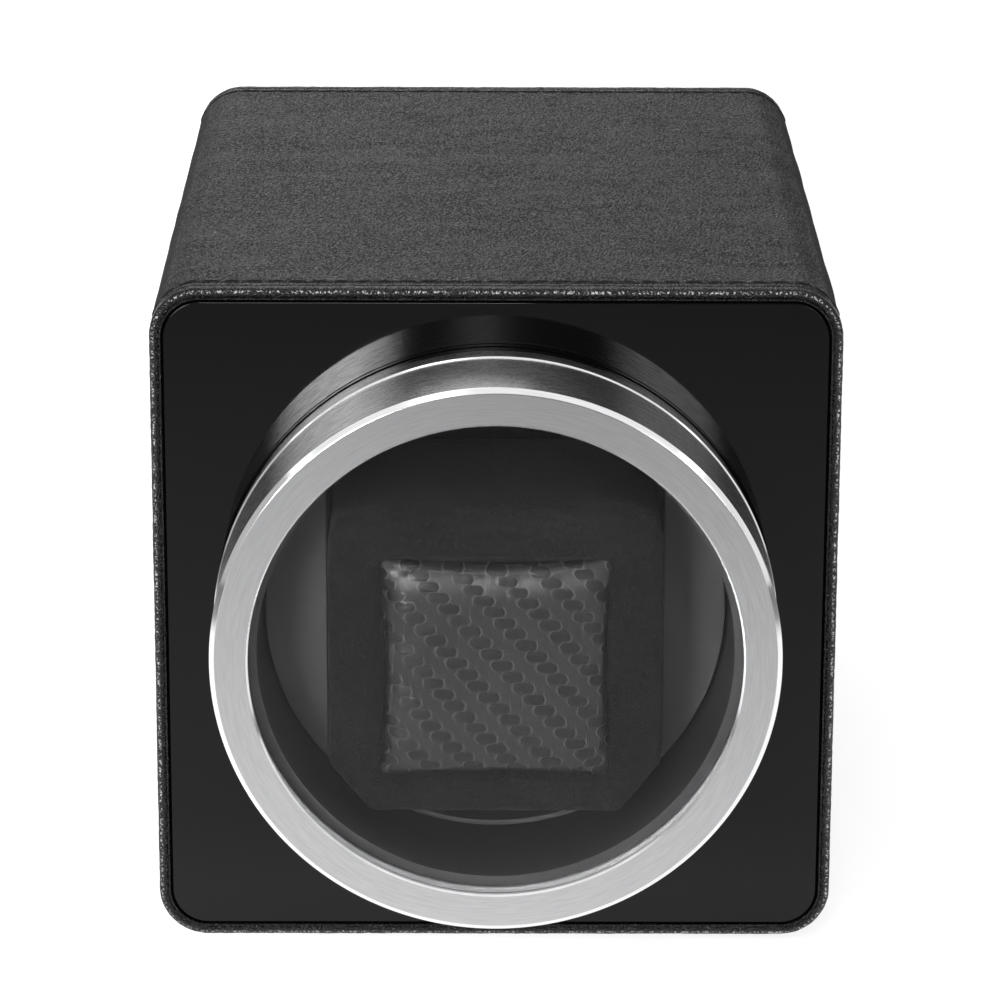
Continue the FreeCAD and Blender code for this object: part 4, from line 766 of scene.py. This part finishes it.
def make_window_ring():
    """The cover's ring: satin face, polished chamfers, brushed side."""
    outer = ring_high.x
    front, back = ring_low.y, ring_high.y
    bore = glass_radius + 0.05 * MM
    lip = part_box("window_gasket")[0].y
    bevel, rear_bevel, lip_bevel = 0.8 * MM, 0.4 * MM, 0.3 * MM
    soft, eased = 0.08 * MM, 0.02 * MM
    side, face, chamfer, inner = 0, 1, 2, 3
    loop = [
        ((WINDOW_RADIUS + lip_bevel, front), face),
        ((outer - bevel - 3 * soft, front), face),
        ((outer - bevel - soft, front), chamfer),
        ((outer - bevel, front + eased), chamfer),
        ((outer - eased, front + bevel), chamfer),
        ((outer, front + bevel + soft), side),
        ((outer, front + bevel + 3 * soft), side),
        ((outer, back - rear_bevel), chamfer),
        ((outer - rear_bevel, back), inner),
        ((bore, back), inner),
        ((bore, lip), inner),
        ((WINDOW_RADIUS, lip), inner),
        ((WINDOW_RADIUS, front + lip_bevel), chamfer),
    ]
    metals = (finishes["brushed_aluminium"], ring_face, ring_chamfer, finishes["bright_aluminium"])
    ring = turn_round_axis("window_ring", loop, metals)
    dress(ring, "cover", "brushed_aluminium", "cover_ring")


def make_seat_ring():
    """The ring on the panel that the cover seats on: a fine chamfer, two grooves and a lower foot."""
    outer, front, back = base_high.x, base_low.y, base_high.y
    bevel, groove_width, groove_depth = 0.24 * MM, 0.22 * MM, 0.8 * MM
    upper_groove, lower_groove = front + 1.15 * MM, front + 2.4 * MM
    deep, band, foot = outer - groove_depth, outer - 0.1 * MM, outer - 0.3 * MM
    side, chamfer = 0, 1
    loop = [
        ((SEAT_BORE, front), side),
        ((outer - bevel, front), chamfer),
        ((outer, front + bevel), side),
        ((outer, upper_groove), side),
        ((deep, upper_groove), side),
        ((deep, upper_groove + groove_width), side),
        ((band, upper_groove + groove_width), side),
        ((band, lower_groove), side),
        ((deep, lower_groove), side),
        ((deep, lower_groove + groove_width), side),
        ((foot, lower_groove + groove_width), side),
        ((foot, back), side),
        ((SEAT_BORE, back), side),
    ]
    ring = turn_round_axis("seat_ring", loop, (finishes["brushed_aluminium"], ring_chamfer))
    dress(ring, "case", "brushed_aluminium", "base_ring")


# Pieces whose edges are eased


def ease_edges(node, name, width, body, finish):
    """A copy of a CAD piece with small round edges, to stand for it."""
    mesh = nodes[node].data.copy()
    if "custom_normal" in mesh.attributes:
        mesh.attributes.remove(mesh.attributes["custom_normal"])
    work = bmesh.new()
    work.from_mesh(mesh)
    bmesh.ops.remove_doubles(work, verts=work.verts, dist=0.001 * MM)
    bmesh.ops.dissolve_limit(work, angle_limit=math.radians(0.5), verts=work.verts,
                             edges=work.edges)
    work.to_mesh(mesh)
    work.free()
    piece = new_piece(name, mesh)
    bevel = piece.modifiers.new("easing", "BEVEL")
    bevel.width = width
    bevel.segments = 2
    bevel.limit_method = "ANGLE"
    bevel.angle_limit = math.radians(40)
    shade(solid_of(piece), 60)
    facing = piece.modifiers.new("facing", "WEIGHTED_NORMAL")
    facing.keep_sharp = True
    solid_of(piece)
    dress(piece, body, finish, node)


def make_eased_pieces():
    """The panels, cheeks and knobs, with the small round edges of real ones."""
    for node, name, width, body, finish in (
            ("rotor_carrier", "drum_cheeks", 0.35 * MM, "rotor", "cheek_grey"),
            ("front_panel", "gloss_plate", 0.3 * MM, "case", "gloss_black"),
            ("rear_panel", "back_plate", 0.15 * MM, "case", "satin_black"),
            ("speed_knob", "speed_dial", 0.25 * MM, "speed_control", "knob_black"),
            ("direction_knob", "direction_dial", 0.25 * MM, "direction_control", "knob_black")):
        ease_edges(node, name, width, body, finish)


# Pillow


def inflate(piece, pressure, spare, steps):
    """Fill a closed cloth whose held points stay still, and return its settled points."""
    cloth = piece.modifiers.new("filling", "CLOTH")
    settings = cloth.settings
    settings.quality = 6
    settings.use_pressure = True
    settings.uniform_pressure_force = pressure
    settings.shrink_min = -spare
    settings.vertex_group_mass = "held"
    settings.effector_weights.gravity = 0
    cloth.collision_settings.use_collision = False
    for step in range(1, steps + 1):
        scene.frame_set(step)
    evaluated = piece.evaluated_get(bpy.context.evaluated_depsgraph_get())
    points = [vertex.co.copy() for vertex in evaluated.data.vertices]
    piece.modifiers.remove(cloth)
    scene.frame_set(1)
    return points


def capped(before, after, limit):
    """A move no longer than a limit."""
    move = after - before
    return before + move * min(1.0, limit / max(move.length, 1e-9))


def make_velvet_block():
    """The pillow's velvet block, filled out from its CAD solid."""
    mesh = nodes["pillow_body"].data.copy()
    mesh.attributes.remove(mesh.attributes["custom_normal"])
    block = new_piece("velvet_block", mesh)
    settle_normals(mesh)
    remesh = block.modifiers.new("even", "REMESH")
    remesh.mode = "VOXEL"
    remesh.voxel_size = BLOCK_VOXEL
    relax = block.modifiers.new("relax", "SMOOTH")
    relax.iterations = 3
    fill_corners(solid_of(block))
    fill_block(block)
    rounding = block.modifiers.new("rounding", "SUBSURF")
    rounding.levels = rounding.render_levels = 1
    mesh = solid_of(block)
    pile_rise, dent_rise = 0.03 * MM, 0.08 * MM
    normals = [vertex.normal.copy() for vertex in mesh.vertices]
    for vertex, normal in zip(mesh.vertices, normals):
        pile, dents = noise.noise(vertex.co * 900), noise.noise(vertex.co * 90)
        vertex.co += normal * (pile * pile_rise + dents * dent_rise)
    mesh.materials.clear()
    mesh.materials.append(finishes["black_velvet"])
    shade(mesh, 180)
    dress(block, "pillow", "black_velvet", "pillow_body")


def fill_corners(mesh):
    """Plump up the block's cut lower corners, within its sides and underside."""
    fuller, turned_from, turned_by = 1.6 * MM, 0.55, 0.35
    slope = Vector((10.0, 0.0, -8.0)).normalized()
    for vertex, normal in [(vertex, vertex.normal.copy()) for vertex in mesh.vertices]:
        way = Vector((math.copysign(slope.x, vertex.co.x), 0.0, slope.z))
        facing = min(1.0, max(0.0, normal.dot(way) - turned_from) / turned_by)
        moved = vertex.co + way * fuller * facing
        vertex.co = (max(block_low.x, min(block_high.x, moved.x)), moved.y, max(block_low.z, moved.z))


def fill_block(block):
    """Swell the block's faces a little, with the seat of the pad held."""
    limit, margin = 0.35 * MM, 0.6 * MM
    rest = [vertex.co.copy() for vertex in block.data.vertices]
    held = block.vertex_groups.new(name="held")
    for vertex in block.data.vertices:
        by_pad = (pad_low.x - margin < vertex.co.x < pad_high.x + margin
                  and pad_low.z - margin < vertex.co.z < pad_high.z + margin
                  and vertex.co.y < pad_high.y + margin)
        held.add([vertex.index], 1.0 if by_pad else 0.0, "REPLACE")
        vertex.co *= SIM_SCALE
    points = inflate(block, pressure=2.0, spare=0.0, steps=12)
    for vertex, before, after in zip(block.data.vertices, rest, points):
        vertex.co = capped(before, after / SIM_SCALE, limit)


def pad_spot(column, row, depth):
    """A point of the pad's flat cut: its sides drawn in between the corners."""
    across = 2 * column / PAD_CELLS - 1
    up = 2 * row / PAD_CELLS - 1
    x = across * (pad_half_width - PAD_DRAW * (1 - up * up))
    z = up * (pad_half_height - PAD_DRAW * (1 - across * across))
    return Vector((x, depth, z))


def make_twill_pad():
    """The pad under the watch: a filled, pressed-weave cover puckered at its corners."""
    side, count = PAD_POINTS, PAD_POINTS ** 2
    front, rear = ([pad_spot(column, row, depth) for row in range(side) for column in range(side)]
                   for depth in (-PAD_EDGE, 0.0))
    faces = []
    for row in range(PAD_CELLS):
        for column in range(PAD_CELLS):
            corner = row * side + column
            quad = (corner, corner + 1, corner + side + 1, corner + side)
            faces.append(quad)
            faces.append(tuple(index + count for index in reversed(quad)))
    rim = (list(range(PAD_CELLS))
           + [row * side + PAD_CELLS for row in range(PAD_CELLS)]
           + [PAD_CELLS * side + column for column in range(PAD_CELLS, 0, -1)]
           + [row * side for row in range(PAD_CELLS, 0, -1)])
    for index, corner in enumerate(rim):
        following = rim[(index + 1) % len(rim)]
        faces.append((corner, corner + count, following + count, following))
    mesh = bpy.data.meshes.new("twill_cover")
    mesh.from_pydata(front + rear, [], faces)
    cut = mesh.uv_layers.new(name="weave")
    across = Vector((math.cos(TWILL_SLANT), 0.0, -math.sin(TWILL_SLANT)))
    down = Vector((-math.sin(TWILL_SLANT), 0.0, -math.cos(TWILL_SLANT)))
    for loop, corner in zip(mesh.loops, cut.data):
        spot = front[loop.vertex_index % count]
        corner.uv = (spot.dot(across) / TWILL_COLUMN + TWILL_START[0],
                     spot.dot(down) / TWILL_ROW + TWILL_START[1])
    pad = new_piece("twill_cover", mesh, finishes["carbon_look"])
    tips = mesh.attributes.new("crease_vert", "FLOAT", "POINT")
    for corner in (0, PAD_CELLS, side * PAD_CELLS, count - 1):
        tips.data[corner].value = tips.data[corner + count].value = 1.0
    crown = fill_pad(pad, count)
    settle_pad(pad, crown)
    dress(pad, "pillow", "carbon_look", "pillow_pad")


def fill_pad(pad, count):
    """Blow the pad's front up from its flat cut, with its back and edge held."""
    limit = 6.0 * MM
    held = pad.vertex_groups.new(name="held")
    rest = [vertex.co.copy() for vertex in pad.data.vertices]
    for vertex in pad.data.vertices:
        row, column = divmod(vertex.index % count, PAD_POINTS)
        fixed = vertex.index >= count or row in (0, PAD_CELLS) or column in (0, PAD_CELLS)
        held.add([vertex.index], 1.0 if fixed else 0.0, "REPLACE")
        vertex.co *= SIM_SCALE
    points = inflate(pad, pressure=4.0, spare=0.05, steps=20)
    for vertex, before, after in zip(pad.data.vertices, rest, points):
        vertex.co = capped(before, after / SIM_SCALE, limit)
    return max(rest[0].y - vertex.co.y for vertex in pad.data.vertices)


def weave_height(across, down):
    """The pressed relief of the weave, 0 to 1, from places counted in threads."""
    row = math.floor(down)
    place = (across - row + 1) % TWILL_REPEAT
    upright = abs(down - row - 0.5)
    aside = FLOAT_LENGTH * abs(place - TWILL_REPEAT / 2)
    left = 1 - (aside + FLOAT_TAPER * upright) ** FLOAT_END - (FLOAT_WIDTH * upright) ** FLOAT_SIDE
    if left > 0:
        return math.sqrt(left)
    from_thread = abs(place % 1 - 0.5) * 2
    return 0.3 + 0.3 * math.sqrt(max(0.0, 1 - from_thread ** 2))


def settle_pad(pad, crown):
    """Give the crown its real height, smooth the cover, press the weave in and seat the pad."""
    spare, filled_share = 0.12 * MM, 0.25
    rise = (pad_high.y - pad_low.y) - PAD_EDGE - spare
    for vertex in pad.data.vertices:
        share = (-PAD_EDGE - vertex.co.y) / crown
        if share > 0:
            across, up = abs(vertex.co.x) / pad_half_width, abs(vertex.co.z) / pad_half_height
            tailored = max(0.0, (1 - across ** 10) * (1 - up ** 10))
            filled = 1 - (1 - share) ** PAD_FULLNESS
            vertex.co.y = -PAD_EDGE - rise * (filled_share * filled + (1 - filled_share) * tailored)
    rounding = pad.modifiers.new("rounding", "SUBSURF")
    rounding.levels = rounding.render_levels = 2
    mesh = solid_of(pad)
    settle_normals(mesh)
    places = {}
    for loop, corner in zip(mesh.loops, mesh.uv_layers["weave"].data):
        places[loop.vertex_index] = corner.uv.copy()
    centre = Vector((0, pad_high.y, (pad_low.z + pad_high.z) / 2))
    normals = [vertex.normal.copy() for vertex in mesh.vertices]
    for vertex, normal in zip(mesh.vertices, normals):
        if normal.y < 0 and vertex.co.y < PAD_RELIEF - PAD_EDGE:
            vertex.co += normal * (PAD_RELIEF * weave_height(*places[vertex.index]))
        vertex.co += centre
    shade(mesh, 60)


# Stage


def make_floor():
    """A grey floor with a white sheet on it that fills the view and keeps the shadow."""
    material, tree, shader = new_finish("floor_white")
    out = effect(tree, speckle, Grains=300.0)
    path = add(tree, "ShaderNodeLightPath").outputs
    seen = math_of(tree, "MAXIMUM", path["Is Camera Ray"], path["Is Glossy Ray"])
    seen = math_of(tree, "MAXIMUM", seen, path["Is Transmission Ray"])
    split = add(tree, "ShaderNodeSeparateXYZ", {0: coordinates(tree)}).outputs
    lift = math_of(tree, "MULTIPLY", seen, FLOOR_LIFT)
    for place, fade in ((split["Y"], (-0.5, -0.1, 0.0, 1.0)),
                        (split["Y"], (-0.14, -0.105, 0.8, 1.0)),
                        (split["X"], (-0.08, 0.05, 1.2, 1.0)),
                        (split["Y"], (0.78, 0.95, 1.0, 0.0)),
                        (math_of(tree, "ABSOLUTE", split["X"]), (0.3, 0.45, 1.0, 0.0))):
        lift = math_of(tree, "MULTIPLY", lift, ranged(tree, place, *fade))
    tone = blend_colour(tree, out["Grain"], (0.39, 0.39, 0.39), (0.41, 0.41, 0.41))
    feed(tree, shader, Base_Color=tone, Roughness=0.9, IOR=1.1, Emission_Color=(1.0, 1.0, 1.0, 1.0),
         Emission_Strength=lift)
    mesh = bpy.data.meshes.new("floor")
    mesh.from_pydata([(FLOOR_REACH * across, FLOOR_REACH * along, 0)
                      for across, along in ((-1, -1), (1, -1), (1, 1), (-1, 1))], [], [(0, 1, 2, 3)])
    floor = new_piece("floor", mesh, material)


def add_softbox(name, place, target, width, height, radiance):
    """A soft rectangular lamp aimed at a point; its radiance is its own brightness."""
    lamp = bpy.data.lights.new(name, "AREA")
    lamp.shape = "RECTANGLE"
    lamp.size = width
    lamp.size_y = height
    lamp.energy = radiance * math.pi * width * height
    box = bpy.data.objects.new(name, lamp)
    aim = Vector(target) - Vector(place)
    box.matrix_world = Matrix.Translation(place) @ aim.to_track_quat("-Z", "Y").to_matrix().to_4x4()
    scene.collection.objects.link(box)


def make_lights():
    """Soft lamps above, behind, in front and at both sides, and a dim even surround."""
    middle = (0.0, -0.05, 0.07)
    for name, place, width, height, radiance in (
            ("overhead", (-0.2, 0.2, 0.9), 1.0, 1.0, 1.0),
            ("back_light", (-0.2, 1.5, 0.74), 0.75, 0.9, 1.65),
            ("front_light", (0.0, -0.47, 1.1), 3.6, 0.4, 0.85),
            ("left_card", (-1.35, -0.3, 0.5), 0.5, 1.0, 0.4),
            ("right_card", (1.35, -0.3, 0.5), 0.5, 1.0, 0.75),
            ("key_light", (-0.06, -0.95, 0.85), 0.16, 0.2, 26.0),
            ("left_strip", (-0.45, -1.2, 0.34), 0.15, 0.45, 10.0),
            ("low_left_strip", (-0.36, -1.24, 0.19), 0.2, 0.45, 29.0),
            ("right_strip", (0.42, -1.22, 0.21), 0.15, 0.45, 9.0)):
        add_softbox(name, place, middle, width, height, radiance)
    world = bpy.data.worlds.new("studio")
    world.use_nodes = True
    surround = world.node_tree.nodes["Background"].inputs
    surround["Color"].default_value = (1.0, 1.0, 1.0, 1.0)
    surround["Strength"].default_value = WORLD_LEVEL
    scene.world = world


def place_camera():
    """The camera in front of the box, from its place and angles."""
    forward = Vector((math.sin(CAMERA_YAW) * math.cos(CAMERA_PITCH),
                      math.cos(CAMERA_YAW) * math.cos(CAMERA_PITCH), -math.sin(CAMERA_PITCH)))
    level = Vector((math.cos(CAMERA_YAW), -math.sin(CAMERA_YAW), 0.0))
    rise = level.cross(forward)
    right = level * math.cos(CAMERA_ROLL) + rise * math.sin(CAMERA_ROLL)
    up = rise * math.cos(CAMERA_ROLL) - level * math.sin(CAMERA_ROLL)
    lens = bpy.data.cameras.new("camera")
    lens.lens = CAMERA_LENS
    lens.sensor_width = 36.0
    camera = bpy.data.objects.new("camera", lens)
    camera.matrix_world = (Matrix.Translation(CAMERA_PLACE)
                           @ Matrix((right, up, -forward)).transposed().to_4x4())
    scene.collection.objects.link(camera)
    scene.camera = camera


place_camera()
make_floor()
make_lights()
make_leather_skin()
make_bindings()
make_stitches()
make_window_ring()
make_seat_ring()
make_eased_pieces()
make_velvet_block()
make_twill_pad()
scene.view_settings.view_transform = "Standard"
